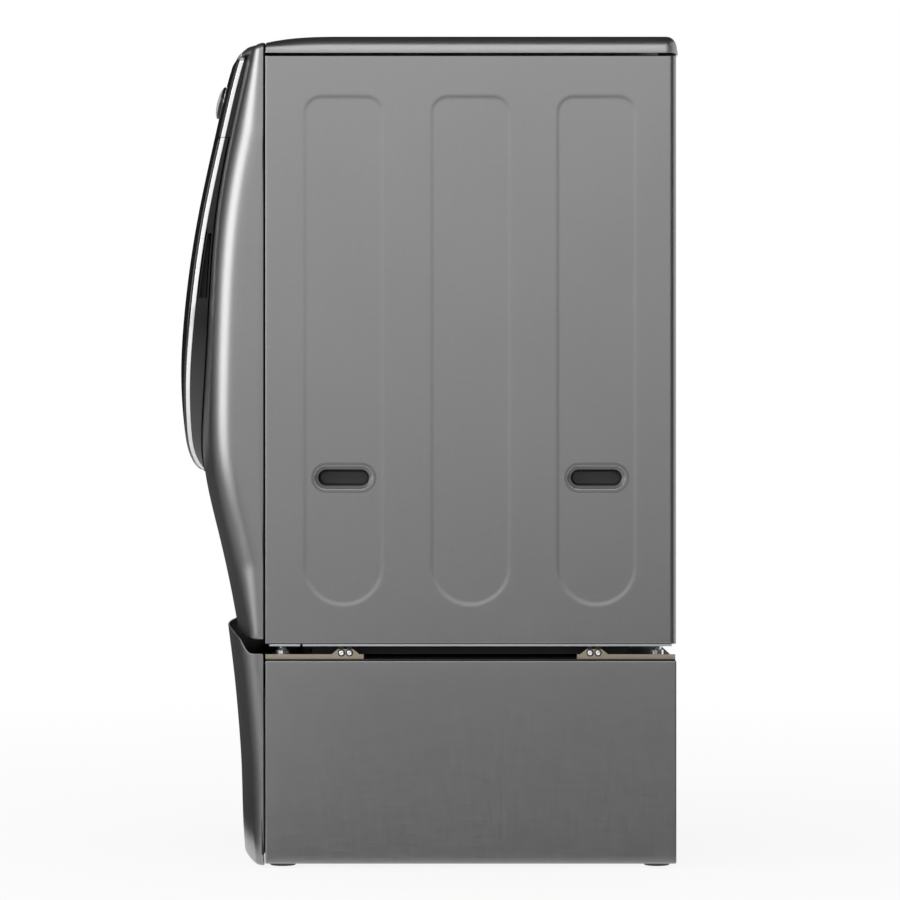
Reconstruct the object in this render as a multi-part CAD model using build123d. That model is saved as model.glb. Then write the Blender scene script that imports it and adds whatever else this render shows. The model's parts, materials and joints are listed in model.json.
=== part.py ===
from build123d import *
import math
import os

# Front load washing machine on a drawer pedestal.
# Millimetres. +Z is up, the front faces -Y, the origin is on the floor at the middle of the bounding box.

# Overall sizes
HALF_WIDTH = 368.0
HEIGHT = 1400.0
FRONT_Y = -430.0
REAR_Y = 430.0
SHEET = 1.5

# Joint between the front pieces and the side pieces
SEAM_Y = -267.0
SEAM_GAP = 4.0
FRONT_BACK_Y = SEAM_Y - SEAM_GAP / 2
SIDE_FRONT_Y = SEAM_Y + SEAM_GAP / 2
CABINET_REAR_Y = 426.0

# Heights of the main pieces
PEDESTAL_BOTTOM = 8.0
PEDESTAL_TOP = 350.0
DECK_TOP = 352.0
CABINET_BOTTOM = 377.5
CABINET_TOP = 1366.0
FRONT_BOTTOM = 384.0
FRONT_TOP = 1387.5
LID_BOTTOM = 1371.0
LID_SEAM_TOP = 1387.5

# The front is crowned in plan: every front surface is turned about one upright axis
CROWN_RADIUS = 1750.0
CROWN_AXIS_Y = FRONT_Y + CROWN_RADIUS
CROWN_SWEEP = 14.0
CORNER_RADIUS = 50.0
TOP_ROLL = 16.0

# Side profiles at the middle of the machine, as (y, z)
GLASS_PROFILE = [(-372, 646), (-398, 667), (-411, 686), (-424, 738), (-430, 817), (-424, 948),
                 (-402, 1105), (-368.5, 1263), (-350, 1341), (-341, 1372), (-331, 1402)]
PANEL_PROFILE = [(-325, 360), (-341, 450), (-364, 555), (-389, 670), (-394, 790), (-390, 948),
                 (-375, 1128), (-356, 1233), (-328, 1365), (-322, 1395)]
DRAWER_PROFILE = [(-318, 0), (-321, 42), (-324.5, 148), (-330, 232), (-338, 316), (-348, 396), (-351, 420)]
FAR = 170.0

# Shield shaped glass front
SHIELD_HALF = 300.0
SHIELD_TOP = 1372.0
SHIELD_ROUND_Z = 965.0
SHIELD_CORNER = 26.0
PARTING_Z = 1235.0
PARTING_GAP = 3.0
GLASS_INSET = 3.5
GLASS_THICK = 5.0
RIM_WIDTH = 8.0
RIM_DEPTH = 8.0
WALL_INSET = 1.0
WALL_THICK = 4.0
DOOR_GAP = 2.5
DOOR_PLATE = 3.0

# Drum, tub and door opening share one level axis
DRUM_Z = 920.0
OPENING_RADIUS = 207.0
DRUM_RADIUS = 292.0
DRUM_FRONT_Y = -268.0
DRUM_BACK_Y = 268.0
TUB_RADIUS = 316.0
TUB_WALL = 6.0
TUB_FRONT_Y = -290.0
TUB_SPLIT_Y = -20.0
TUB_BACK_Y = 292.0
SHAFT_RADIUS = 15.0
RUNNING_FIT = 0.05

# Door hinge, lock and handle
HINGE_X = -303.0
HINGE_Y = -373.0
HINGE_Z = 945.0
HINGE_REACH = 40.0
HINGE_PIN_RADIUS = 3.0
HINGE_BARREL_RADIUS = 5.5
LOCK_X = 250.0
LOCK_Z = 900.0
HANDLE_X = 272.0
HANDLE_Z0 = 962.0
HANDLE_Z1 = 1072.0
HANDLE_WALL = 2.0

# Glass bowl of the door
BOWL_RADIUS = 185.0
BOWL_FLANGE_RADIUS = 192.0
BOWL_FLANGE_Y = -381.0
BOWL_BACK_Y = -302.0
BOWL_BACK_RADIUS = 148.0
BOWL_WALL = 5.0

# Suspension of the tub
SPRING_TOP = (275.0, 90.0, 1334.0)
SPRING_BOTTOM = (243.0, 90.0, 1196.0)
SPRING_RADIUS = 15.0
DAMPER_TOP = (205.0, 40.0, 690.0)
DAMPER_FOOT = (262.0, 40.0, 404.0)

# Connections at the back
INLET_XS = (-262.0, -198.0)
DRAIN_X = 262.0
POWER_X = 160.0
CONNECTION_Z = 1290.0
VENT_ROWS = 6

# Controls on the fascia
CONTROL_Z = 1322.0
CONTROL_TILT = 14.5
KNOB_RADIUS = 29.0
KNOB_HEIGHT = 16.0
KNOB_SHAFT_RADIUS = 5.0
BUTTON_RADIUS = 11.0
BUTTON_X = 62.0
BUTTON_GAP = 0.5
TRAY_X0 = -284.0
TRAY_X1 = -116.0
TRAY_Z0 = 1254.0
TRAY_Z1 = 1350.0
TRAY_GAP = 1.0
TRAY_FRONT_THICK = 9.0
DISPLAY_X0 = 104.0
DISPLAY_X1 = 268.0
DISPLAY_Z0 = 1292.0
DISPLAY_Z1 = 1342.0

# Embossed fields and carry grips of the side panels
FIELD_CENTRES_Y = [-133.5, 80.0, 291.3]
FIELD_WIDTH = 136.0
FIELD_Z0 = 441.0
FIELD_Z1 = 1300.0
FIELD_CORNER = 30.0
FIELD_DEPTH = 1.8
FIELD_SLOPE = 6.0
GRIP_Z = 657.0
GRIP_CENTRES_Y = [-133.5, 291.3]
GRIP_LENGTH = 110.0
GRIP_HEIGHT = 51.0
GRIP_HOLE_LENGTH = 86.0
GRIP_HOLE_HEIGHT = 27.5
GRIP_DEPTH = 32.0
FLANGE = 26.0
HEM_DROP = 2.6

# Feet and mounting brackets
FOOT_X = 312.0
FOOT_YS = [-238.0, 396.0]
FOOT_PAD_RADIUS = 19.0
BRACKET_LENGTH = 165.0
BRACKET_SETBACK = 3.4
BRACKET_CENTRES_Y = [-182.5, 341.5]
BRACKET_TAB_OFFSETS = [52.0, -54.0]
BRACKET_SHEET = 2.5
TAB_HALF_FOOT = 26.0
TAB_HALF_TOP = 13.0
TAB_TOP = DECK_TOP + 16.5
SCREW_SPACING = 13.5
SCREW_RADIUS = 5.4
SCREW_Z = DECK_TOP + 10.5
LUG_HALF = 4.2

# Pedestal drawer
LIP_TOP = 397.0
LIP_SIDE = 359.5
DRAWER_FRONT_BOTTOM = 4.5
DRAWER_SHELL = 3.0
DRAWER_PLATE = 3.0
DRAWER_CORNER = 18.0
DRAWER_HALF = 322.0
DRAWER_BOX_Z0 = 44.0
DRAWER_BOX_Z1 = 300.0
DRAWER_BOX_BACK_Y = 352.0
SLIDE_Z = 180.0

os.makedirs("parts", exist_ok=True)


# General shapes
def box(x0, x1, y0, y1, z0, z1):
    """Block between two corners."""
    middle = Pos((x0 + x1) / 2, (y0 + y1) / 2, (z0 + z1) / 2)
    return middle * Box(x1 - x0, y1 - y0, z1 - z0)


def rod(radius, start, end):
    """Round bar from one point to another."""
    way = Vector(*end) - Vector(*start)
    bar = Cylinder(radius, way.length, align=(Align.CENTER, Align.CENTER, Align.MIN))
    return Plane(origin=start, z_dir=way) * bar


def pipe(outer, inner, start, end):
    """Round tube from one point to another."""
    return rod(outer, start, end) - rod(inner, start, end)


def turned(points):
    """Solid turned about the drum axis from an outline of (radius, y) points."""
    outline = Pos(0, 0, DRUM_Z) * make_face(Polyline(*points, close=True))
    return revolve(outline, Axis((0, 0, DRUM_Z), (0, 1, 0)))


def along_y(sketch, y0, y1):
    """Extrude an outline drawn in X and Z from y0 to y1."""
    return extrude(Plane.XZ.offset(-y1) * sketch, amount=y1 - y0)


def along_x(sketch, x0, x1):
    """Extrude an outline drawn in Y and Z from x0 to x1."""
    return extrude(Plane.YZ.offset(x0) * sketch, amount=x1 - x0)


def mirrored(shape):
    """The same shape on the other side of the machine."""
    return mirror(shape, about=Plane.YZ)


def both_sides(shape):
    """A shape and its mirror image as separate solids."""
    return Compound(children=[shape, mirrored(shape)])


def group(shapes):
    """Separate solids in one group."""
    return Compound(children=list(shapes))


# Crowned surfaces
def shifted(profile, forward):
    """A side profile moved towards the front."""
    return [(y - forward, z) for y, z in profile]


def crowned(front, back):
    """Solid between two side profiles, turned about the crown axis."""
    front_edge = Spline(*[(0, y, z) for y, z in front])
    back_edge = Spline(*[(0, y, z) for y, z in reversed(back)])
    face = make_face([front_edge, Line(front_edge @ 1, back_edge @ 0),
                      back_edge, Line(back_edge @ 1, front_edge @ 0)])
    axis = Axis((0, CROWN_AXIS_Y, 0), (0, 0, 1))
    return revolve(face.rotate(axis, -CROWN_SWEEP), axis, 2 * CROWN_SWEEP)


def layer(profile, thickness):
    """Curved plate whose outer face is the profile."""
    return crowned(profile, shifted(profile, -thickness))


def between(front, back):
    """Curved space behind one profile and in front of another."""
    return layer(front, FAR) & layer(shifted(back, FAR), FAR)


def shield(inset):
    """Outline of the glass front: straight sides, a flat top and a half round bottom."""
    half = SHIELD_HALF - inset
    top = SHIELD_TOP - inset
    straight = Pos(0, (top + SHIELD_ROUND_Z) / 2) * Rectangle(2 * half, top - SHIELD_ROUND_Z)
    straight = fillet(straight.vertices().group_by(Axis.Y)[-1], SHIELD_CORNER - inset)
    return straight + Pos(0, SHIELD_ROUND_Z) * Circle(half)


def door_zone():
    """Everything below the parting line."""
    return box(-500, 500, -600, 0, 0, PARTING_Z - PARTING_GAP / 2)


def fascia_zone():
    """Everything above the parting line."""
    return box(-500, 500, -600, 0, PARTING_Z + PARTING_GAP / 2, 1600)


def shield_plate(inset):
    """Endless bar with the shield's outline."""
    return along_y(shield(inset), -600, -200)


def shield_ring(inset, width):
    """Endless tube with the shield's outline."""
    return shield_plate(inset) - shield_plate(inset + width)


def profile_y(profile, z):
    """Depth of a side profile at a height, straight between its points."""
    for (y0, z0), (y1, z1) in zip(profile, profile[1:]):
        if z0 <= z <= z1:
            return y0 + (y1 - y0) * (z - z0) / (z1 - z0)
    return profile[-1][0]


# Cabinet
def stadium(length, height):
    """Level slot outline."""
    return SlotOverall(length, height)


def field_outline(grow):
    """Outline of an embossed field: small corners above, a half round below."""
    width = FIELD_WIDTH + 2 * grow
    top = FIELD_Z1 + grow
    round_z = FIELD_Z0 + FIELD_WIDTH / 2
    straight = Pos(0, (top + round_z) / 2) * Rectangle(width, top - round_z)
    straight = fillet(straight.vertices().group_by(Axis.Y)[-1], FIELD_CORNER + grow)
    return straight + Pos(0, round_z) * Circle(width / 2)


def side_panel():
    """Right side: a tray of sheet metal with three embossed fields and two grip holes."""
    inner_x = HALF_WIDTH - FLANGE
    rear_radius = 12.0
    outer = box(inner_x, HALF_WIDTH, SIDE_FRONT_Y, CABINET_REAR_Y, CABINET_BOTTOM, CABINET_TOP)
    rear_edge = outer.edges().filter_by(Axis.Z).sort_by(lambda e: e.center().X + e.center().Y)[-1]
    outer = fillet(rear_edge, rear_radius)
    hollow = box(inner_x - 1, HALF_WIDTH - SHEET, SIDE_FRONT_Y + SHEET, CABINET_REAR_Y - SHEET,
                 CABINET_BOTTOM + SHEET, CABINET_TOP - SHEET)
    hollow_edge = hollow.edges().filter_by(Axis.Z).sort_by(lambda e: e.center().X + e.center().Y)[-1]
    hollow = fillet(hollow_edge, rear_radius - SHEET)
    panel = outer - hollow
    for y in FIELD_CENTRES_Y:
        floor_x = HALF_WIDTH - FIELD_DEPTH
        pad = along_x(Pos(y, 0) * field_outline(SHEET), floor_x - SHEET, HALF_WIDTH - SHEET)
        rim = Plane.YZ.offset(HALF_WIDTH) * (Pos(y, 0) * field_outline(0))
        floor = Plane.YZ.offset(floor_x) * (Pos(y, 0) * field_outline(-FIELD_SLOPE))
        panel = panel + pad - loft([rim.face(), floor.face()])
    for y in GRIP_CENTRES_Y:
        hole = stadium(GRIP_HOLE_LENGTH + 7, GRIP_HOLE_HEIGHT + 7)
        panel = panel - Pos(0, y, GRIP_Z) * along_x(hole, inner_x, HALF_WIDTH + 1)
    return panel


def carry_grip(y):
    """Moulded cup with a stepped rim that lines one grip hole."""
    floor_x = HALF_WIDTH - FIELD_DEPTH
    flange_x = floor_x + 1.0
    rim = along_x(stadium(GRIP_LENGTH, GRIP_HEIGHT), floor_x + 0.05, flange_x)
    step = along_x(stadium(GRIP_LENGTH - 12, GRIP_HEIGHT - 12), flange_x, HALF_WIDTH)
    floor_of_cup = HALF_WIDTH - GRIP_DEPTH
    cup = along_x(stadium(GRIP_HOLE_LENGTH + 6, GRIP_HOLE_HEIGHT + 6), floor_of_cup, flange_x)
    hollow = along_x(stadium(GRIP_HOLE_LENGTH, GRIP_HOLE_HEIGHT), floor_of_cup + 3, HALF_WIDTH + 1)
    return Pos(0, y, GRIP_Z) * (rim + step + cup - hollow)


def carry_grips():
    """Two grips on each side."""
    right = [carry_grip(y) for y in GRIP_CENTRES_Y]
    return group(right + [mirrored(grip) for grip in right])


def top_cover():
    """Lid with a front that falls to the seam, a rounded rear edge and a hidden locating rim."""
    crown_end_y = -130.0
    rear_radius = 13.0
    front_drop = ThreePointArc((SIDE_FRONT_Y, LID_SEAM_TOP), (-200, 1396.2), (crown_end_y, HEIGHT))
    rear_arc = RadiusArc((REAR_Y - rear_radius, HEIGHT), (REAR_Y, HEIGHT - rear_radius), rear_radius)
    outline = make_face([
        Line((SIDE_FRONT_Y, LID_BOTTOM), (SIDE_FRONT_Y, LID_SEAM_TOP)),
        front_drop,
        Line((crown_end_y, HEIGHT), (REAR_Y - rear_radius, HEIGHT)),
        rear_arc,
        Line((REAR_Y, HEIGHT - rear_radius), (REAR_Y, LID_BOTTOM)),
        Line((REAR_Y, LID_BOTTOM), (SIDE_FRONT_Y, LID_BOTTOM)),
    ])
    lid = along_x(outline, -HALF_WIDTH, HALF_WIDTH)
    top_edges = lid.edges().filter_by(lambda e: abs(abs(e.center().X) - HALF_WIDTH) < 0.1
                                      and e.center().Z > LID_SEAM_TOP + 0.5)
    lid = chamfer(top_edges, 6.0)
    wall = 2.5
    inner = HALF_WIDTH - wall
    lid = lid - box(-inner, inner, SIDE_FRONT_Y + wall, REAR_Y - wall, LID_BOTTOM - 1, LID_SEAM_TOP - wall)
    lid = lid - box(-inner + 4, inner - 4, crown_end_y, REAR_Y - 16, LID_BOTTOM - 1, HEIGHT - wall)
    rim_x = HALF_WIDTH - 10
    rim_top = LID_SEAM_TOP - wall + 0.5
    rim = box(-rim_x, rim_x, SIDE_FRONT_Y + 6, CABINET_REAR_Y - 6, CABINET_TOP + 0.1, rim_top)
    rim = rim - box(-rim_x + 4, rim_x - 4, SIDE_FRONT_Y + 10, CABINET_REAR_Y - 10, CABINET_TOP, LID_SEAM_TOP)
    return lid + rim


def front_block(profile, inset, bottom, top, corner):
    """Block behind a crowned face, with both upright front edges rounded."""
    half = HALF_WIDTH - inset
    block = layer(shifted(profile, -inset), FAR) & box(-half, half, -600, FRONT_BACK_Y, bottom, top)
    edges = block.edges().filter_by(lambda e: abs(abs(e.center().X) - half) < 0.1
                                    and e.center().Y < FRONT_BACK_Y - 5 and e.length > (top - bottom) * 0.8)
    return fillet(edges, corner - inset)


def rolled_top(block, top, radius):
    """Round the upper front edge of a front block."""
    edges = block.edges().filter_by(lambda e: abs(e.center().Z - top) < 0.1
                                    and e.center().Y < FRONT_BACK_Y - 5 and abs(e.center().X) < 200)
    return fillet(edges, radius)


def front_panel():
    """Crowned sheet front with a round door opening, a collar and openings for the controls."""
    outer = front_block(PANEL_PROFILE, 0, FRONT_BOTTOM, FRONT_TOP, CORNER_RADIUS)
    inner = front_block(PANEL_PROFILE, SHEET, FRONT_BOTTOM - 5, FRONT_TOP - SHEET, CORNER_RADIUS)
    panel = rolled_top(outer, FRONT_TOP, TOP_ROLL) - rolled_top(inner, FRONT_TOP - SHEET, TOP_ROLL - SHEET)
    hole = rod(OPENING_RADIUS, (0, -600, DRUM_Z), (0, FRONT_BACK_Y, DRUM_Z))
    collar = pipe(OPENING_RADIUS + SHEET, OPENING_RADIUS, (0, -420, DRUM_Z), (0, -345, DRUM_Z))
    collar = collar & layer(PANEL_PROFILE, FAR)
    panel = panel - hole + collar
    openings = [
        box(TRAY_X0 - 8, TRAY_X1 + 8, -500, -270, TRAY_Z0 - 6, TRAY_Z1 + 6),
        box(DISPLAY_X0, DISPLAY_X1, -500, -270, DISPLAY_Z0, DISPLAY_Z1),
        box(-BUTTON_X - 22, BUTTON_X + 22, -500, -270, CONTROL_Z - 24, CONTROL_Z + 16),
        box(LOCK_X - 12, LOCK_X + 12, -500, -300, LOCK_Z - 16, LOCK_Z + 16),
    ]
    for opening in openings:
        panel = panel - opening
    return panel


def front_panel_depth(x, z):
    """Depth of the front panel's face at a place on it."""
    return profile_y(PANEL_PROFILE, z) + x * x / (2 * CROWN_RADIUS)


def base_pan():
    """Floor of the cabinet: a tray between the side panels, with lugs that take the bracket screws."""
    half = HALF_WIDTH - SHEET - 1
    z0 = CABINET_BOTTOM + SHEET + 0.1
    pan = box(-half, half, SIDE_FRONT_Y + 4, CABINET_REAR_Y - 10, z0, z0 + 2)
    sump = box(-290, 290, -190, 350, 356, z0) - box(-288, 288, -188, 348, 358, z0 + 3)
    pan = pan - box(-288, 288, -188, 348, z0 - 1, z0 + 3) + sump
    front_wall = box(-half + 30, half - 30, SIDE_FRONT_Y + 4, SIDE_FRONT_Y + 6, z0, z0 + 40)
    pan = pan + front_wall
    inner_x = HALF_WIDTH - FLANGE - 4
    for y0, y1 in ((SIDE_FRONT_Y + 5, -207), (-203, CABINET_REAR_Y - 8)):
        hem = box(inner_x, HALF_WIDTH - 0.8, y0, y1, CABINET_BOTTOM - HEM_DROP, CABINET_BOTTOM - 0.2)
        fold = box(inner_x, inner_x + 3.6, y0, y1, CABINET_BOTTOM - HEM_DROP, z0 + 1)
        pan = pan + hem + fold + mirrored(hem + fold)
    for y in screw_places():
        lug_x = HALF_WIDTH - BRACKET_SETBACK - BRACKET_SHEET - 0.1
        lug = box(lug_x - 5, lug_x, y - LUG_HALF, y + LUG_HALF, DECK_TOP + 5, CABINET_BOTTOM - 1)
        pan = pan + lug + mirrored(lug)
    return pan


def cross_brace(y0, y1, z0):
    """Folded beam that ties the side panels under the top cover."""
    half = HALF_WIDTH - SHEET - 1
    top = CABINET_TOP - SHEET - 0.2
    beam = box(-half, half, y0, y1, z0, top)
    return beam - box(-half - 1, half + 1, y0 + 2, y1 - 2, z0 - 1, top - 2)


def cross_braces():
    """One beam behind the fascia and one that carries the springs."""
    return group([cross_brace(SIDE_FRONT_Y + 4, SIDE_FRONT_Y + 40, 1356), cross_brace(60, 120, 1340)])


def rear_panel():
    """Back sheet with a round service opening and cut-outs for water, drain and power."""
    half = HALF_WIDTH - 16
    y1 = CABINET_REAR_Y - SHEET - 0.05
    panel = box(-half, half, y1 - SHEET, y1, CABINET_BOTTOM + 3, CABINET_TOP - 3)
    panel = panel - rod(165, (0, y1 - 5, DRUM_Z), (0, y1 + 5, DRUM_Z))
    panel = panel - box(-296, -164, y1 - 5, y1 + 5, 1252, 1328)
    panel = panel - rod(26, (DRAIN_X, y1 - 5, CONNECTION_Z), (DRAIN_X, y1 + 5, CONNECTION_Z))
    panel = panel - rod(11, (POWER_X, y1 - 5, CONNECTION_Z), (POWER_X, y1 + 5, CONNECTION_Z))
    for row in range(VENT_ROWS):
        z = 520 + row * 16
        panel = panel - box(-120, 120, y1 - 5, y1 + 5, z, z + 5)
    return panel


def rear_access_cover():
    """Dished plate over the service opening at the motor."""
    y0 = CABINET_REAR_Y - SHEET
    plate = along_y(Pos(0, DRUM_Z) * RectangleRounded(380, 380, 60), y0, y0 + SHEET)
    dish = along_y(Pos(0, DRUM_Z) * RectangleRounded(320, 320, 50), y0, y0 + 4)
    dish = dish - along_y(Pos(0, DRUM_Z) * RectangleRounded(316, 316, 48), y0 - 1, y0 + 4 - SHEET)
    plate = plate - along_y(Pos(0, DRUM_Z) * RectangleRounded(317, 317, 48), y0 - 1, y0 + 2)
    screws = [rod(5, (x, y0 + SHEET, DRUM_Z + z), (x, y0 + 3.5, DRUM_Z + z))
              for x in (-174, 174) for z in (-120, 120)]
    cover = plate + dish
    for screw in screws:
        cover = cover + screw
    return cover


def shipping_bolt_caps():
    """Four plugs in the back sheet where the transport bolts were."""
    y = CABINET_REAR_Y - SHEET
    return group([rod(17, (x, y, z), (x, y + 3, z)) for x in (-255, 255) for z in (770, 1130)])


# Feet
def corner_places():
    """Places of the four feet."""
    return [(x, y) for x in (-FOOT_X, FOOT_X) for y in FOOT_YS]


def levelling_feet():
    """Four threaded feet with their lock nuts, standing on the pedestal's deck."""
    pieces = []
    for x, y in corner_places():
        pad = rod(FOOT_PAD_RADIUS, (x, y, DECK_TOP), (x, y, DECK_TOP + 7))
        pieces.append(pad + rod(5, (x, y, DECK_TOP), (x, y, CABINET_BOTTOM + SHEET)))
        nut = extrude(Pos(x, y, CABINET_BOTTOM - 7) * RegularPolygon(10, 6), amount=6.8)
        pieces.append(nut - rod(5.1, (x, y, DECK_TOP), (x, y, CABINET_BOTTOM + 1)))
    return group(pieces)


# Control fascia
def control_axis_point(x, out):
    """Point on a control's axis: 'out' millimetres in front of the fascia glass."""
    tilt = math.radians(CONTROL_TILT)
    y = profile_y(GLASS_PROFILE, CONTROL_Z) + x * x / (2 * CROWN_RADIUS)
    return (x, y - out * math.cos(tilt), CONTROL_Z + out * math.sin(tilt))


def control_rod(x, radius, start, end):
    """Round bar on a control's axis between two distances in front of the glass."""
    return rod(radius, control_axis_point(x, start), control_axis_point(x, end))


def fascia_glass():
    """Dark glass of the fixed control panel."""
    glass = layer(GLASS_PROFILE, GLASS_THICK) & shield_plate(GLASS_INSET) & fascia_zone()
    glass = glass - box(TRAY_X0, TRAY_X1, -500, -270, TRAY_Z0, TRAY_Z1)
    glass = glass - box(DISPLAY_X0, DISPLAY_X1, -500, -270, DISPLAY_Z0, DISPLAY_Z1)
    glass = glass - control_rod(0, KNOB_SHAFT_RADIUS + 2, -40, 20)
    for x in (-BUTTON_X, BUTTON_X):
        glass = glass - control_rod(x, BUTTON_RADIUS + BUTTON_GAP, -40, 20)
    return glass


def display_window():
    """Flush window over the display."""
    gap = 0.3
    window = layer(GLASS_PROFILE, GLASS_THICK - 1)
    return window & box(DISPLAY_X0 + gap, DISPLAY_X1 - gap, -500, -270, DISPLAY_Z0 + gap, DISPLAY_Z1 - gap)


def fascia_space(front_gap):
    """Room between the fascia glass and the front panel."""
    front = shifted(GLASS_PROFILE, -GLASS_THICK - front_gap)
    return between(front, shifted(PANEL_PROFILE, 0.4)) & fascia_zone()


def control_fascia():
    """Plastic carrier behind the fascia glass, with bores for the controls."""
    body = fascia_space(0.2) & shield_plate(RIM_WIDTH + 0.4)
    body = body + (fascia_space(RIM_DEPTH + 0.4) & shield_ring(WALL_INSET, RIM_WIDTH + 2))
    body = body - box(TRAY_X0 - 7, TRAY_X1 + 7, -500, -270, TRAY_Z0 - 6, TRAY_Z1 + 6)
    body = body - box(DISPLAY_X0 + 3, DISPLAY_X1 - 3, -500, -270, DISPLAY_Z0 + 3, DISPLAY_Z1 - 3)
    body = body - control_rod(0, KNOB_SHAFT_RADIUS + RUNNING_FIT, -60, 20)
    for x in (-BUTTON_X, BUTTON_X):
        body = body - control_rod(x, BUTTON_RADIUS + BUTTON_GAP, -60, 20)
    return body


def fascia_trim():
    """Chrome rim round the sides and top of the fascia."""
    rim = layer(shifted(GLASS_PROFILE, -GLASS_THICK - 0.2), RIM_DEPTH)
    return rim & fascia_space(0.2) & shield_ring(0, RIM_WIDTH)


def control_knob():
    """Round knob with a domed cap, on a short shaft."""
    knob = control_rod(0, KNOB_RADIUS, 1.0, KNOB_HEIGHT)
    rim = knob.edges().filter_by(GeomType.CIRCLE).sort_by(lambda e: e.center().Y)[0]
    knob = fillet(rim, 3.0)
    return knob + control_rod(0, KNOB_SHAFT_RADIUS, -10, 1.5)


def push_button(x):
    """Round button that stands a little proud of the glass."""
    return control_rod(x, BUTTON_RADIUS, -9, 3.2)


def power_button():
    return push_button(-BUTTON_X)


def start_button():
    return push_button(BUTTON_X)


# Detergent drawer
def dispenser_housing():
    """Open-fronted box above the tub that the detergent drawer slides in."""
    x0, x1 = TRAY_X0 - 5, TRAY_X1 + 5
    shell = box(x0, x1, -298, -10, TRAY_Z0 - 4, TRAY_Z1 + 4)
    hollow = box(x0 + 2.5, x1 - 2.5, -330, -13, TRAY_Z0 - 1.5, TRAY_Z1 + 1.5)
    spout = pipe(22, 19, (x0 + 60, -60, 1214), (x0 + 60, -60, TRAY_Z0 - 4))
    return shell - hollow + spout - rod(19, (x0 + 60, -60, 1200), (x0 + 60, -60, TRAY_Z0))


def detergent_drawer_front():
    """Curved front of the detergent drawer, flush with the fascia glass."""
    x0, x1 = TRAY_X0 + TRAY_GAP, TRAY_X1 - TRAY_GAP
    z0, z1 = TRAY_Z0 + TRAY_GAP, TRAY_Z1 - TRAY_GAP
    return layer(GLASS_PROFILE, TRAY_FRONT_THICK) & box(x0, x1, -500, -270, z0, z1)


def detergent_drawer_tray():
    """Tray with three compartments that follows the drawer's front."""
    x0, x1 = TRAY_X0 + 4, TRAY_X1 - 4
    z0, z1 = TRAY_Z0 + 3, TRAY_Z1 - 8
    wall = 2.5
    back_y = -24
    tray = box(x0, x1, -420, back_y, z0, z1)
    third = (x1 - x0 - 4 * wall) / 3
    for index in range(3):
        left = x0 + wall + index * (third + wall)
        tray = tray - box(left, left + third, -305, back_y - wall, z0 + wall, z1 + 1)
    return tray & layer(shifted(GLASS_PROFILE, -TRAY_FRONT_THICK - 0.1), 400)


# Door
def handle_block(grow):
    """Block round the finger pocket in the door's free side."""
    return box(HANDLE_X - grow, 330, -500, -300, HANDLE_Z0 - grow, HANDLE_Z1 + grow)


def handle_pocket():
    """Curved finger pocket between the door's rim and its back."""
    front = shifted(GLASS_PROFILE, -GLASS_THICK - RIM_DEPTH - HANDLE_WALL)
    back = shifted(PANEL_PROFILE, DOOR_GAP + HANDLE_WALL)
    return between(front, back) & handle_block(0)


def hinge_notch():
    """Room for the hinge in the door's edge."""
    reach = HINGE_REACH + 2
    return box(-330, -262, -383, -330, HINGE_Z - reach, HINGE_Z + reach)


def door_glass():
    """Dark outer glass of the door."""
    return layer(GLASS_PROFILE, GLASS_THICK) & shield_plate(GLASS_INSET) & door_zone() & door_space()


def door_space():
    """Room in front of the front panel that the door may take."""
    return layer(shifted(PANEL_PROFILE, FAR), FAR - DOOR_GAP)


def door_rim():
    """Chrome rim behind the edge of the door glass."""
    rim = layer(shifted(GLASS_PROFILE, -GLASS_THICK - 0.2), RIM_DEPTH) & shield_ring(0, RIM_WIDTH)
    return rim & door_zone() & door_space()


def door_frame():
    """Side wall and back plate of the door, with the hinge notch, finger pocket and bowl seat."""
    behind_rim = layer(shifted(GLASS_PROFILE, -GLASS_THICK - RIM_DEPTH - 0.4), FAR)
    space = behind_rim & door_space() & door_zone()
    wall = space & shield_ring(WALL_INSET, WALL_THICK)
    top_bar = space & shield_plate(WALL_INSET) & box(-400, 400, -600, 0, PARTING_Z - 6, PARTING_Z)
    plate = space & layer(shifted(PANEL_PROFILE, DOOR_GAP + DOOR_PLATE), 40) & shield_plate(WALL_INSET)
    hole_radius = BOWL_FLANGE_RADIUS + 1
    seat = pipe(hole_radius + 6, hole_radius, (0, -398, DRUM_Z), (0, BOWL_FLANGE_Y + 2, DRUM_Z))
    lip = pipe(hole_radius + 6, BOWL_RADIUS, (0, -398, DRUM_Z), (0, BOWL_FLANGE_Y - BOWL_WALL - 0.1, DRUM_Z))
    behind_glass = layer(shifted(GLASS_PROFILE, -GLASS_THICK - 0.6), FAR)
    frame = plate - rod(hole_radius, (0, -500, DRUM_Z), (0, -300, DRUM_Z))
    frame = frame + wall + top_bar + ((seat + lip) & behind_glass)
    frame = frame - hinge_notch() - hook_shank(0.4)
    liner = space & shield_plate(WALL_INSET) & handle_block(HANDLE_WALL)
    return frame + liner - handle_pocket()


def door_bowl():
    """Glass bowl that reaches through the seal into the drum opening."""
    front_y = BOWL_FLANGE_Y - BOWL_WALL
    points = [(BOWL_FLANGE_RADIUS, BOWL_FLANGE_Y), (BOWL_FLANGE_RADIUS, front_y), (BOWL_RADIUS - 5, front_y),
              (BOWL_BACK_RADIUS - 6, BOWL_BACK_Y - BOWL_WALL), (0, BOWL_BACK_Y - BOWL_WALL - 8),
              (0, BOWL_BACK_Y - 8), (BOWL_BACK_RADIUS - 3, BOWL_BACK_Y), (BOWL_BACK_RADIUS, BOWL_BACK_Y - 4),
              (BOWL_RADIUS, BOWL_FLANGE_Y)]
    return turned(points)


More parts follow.
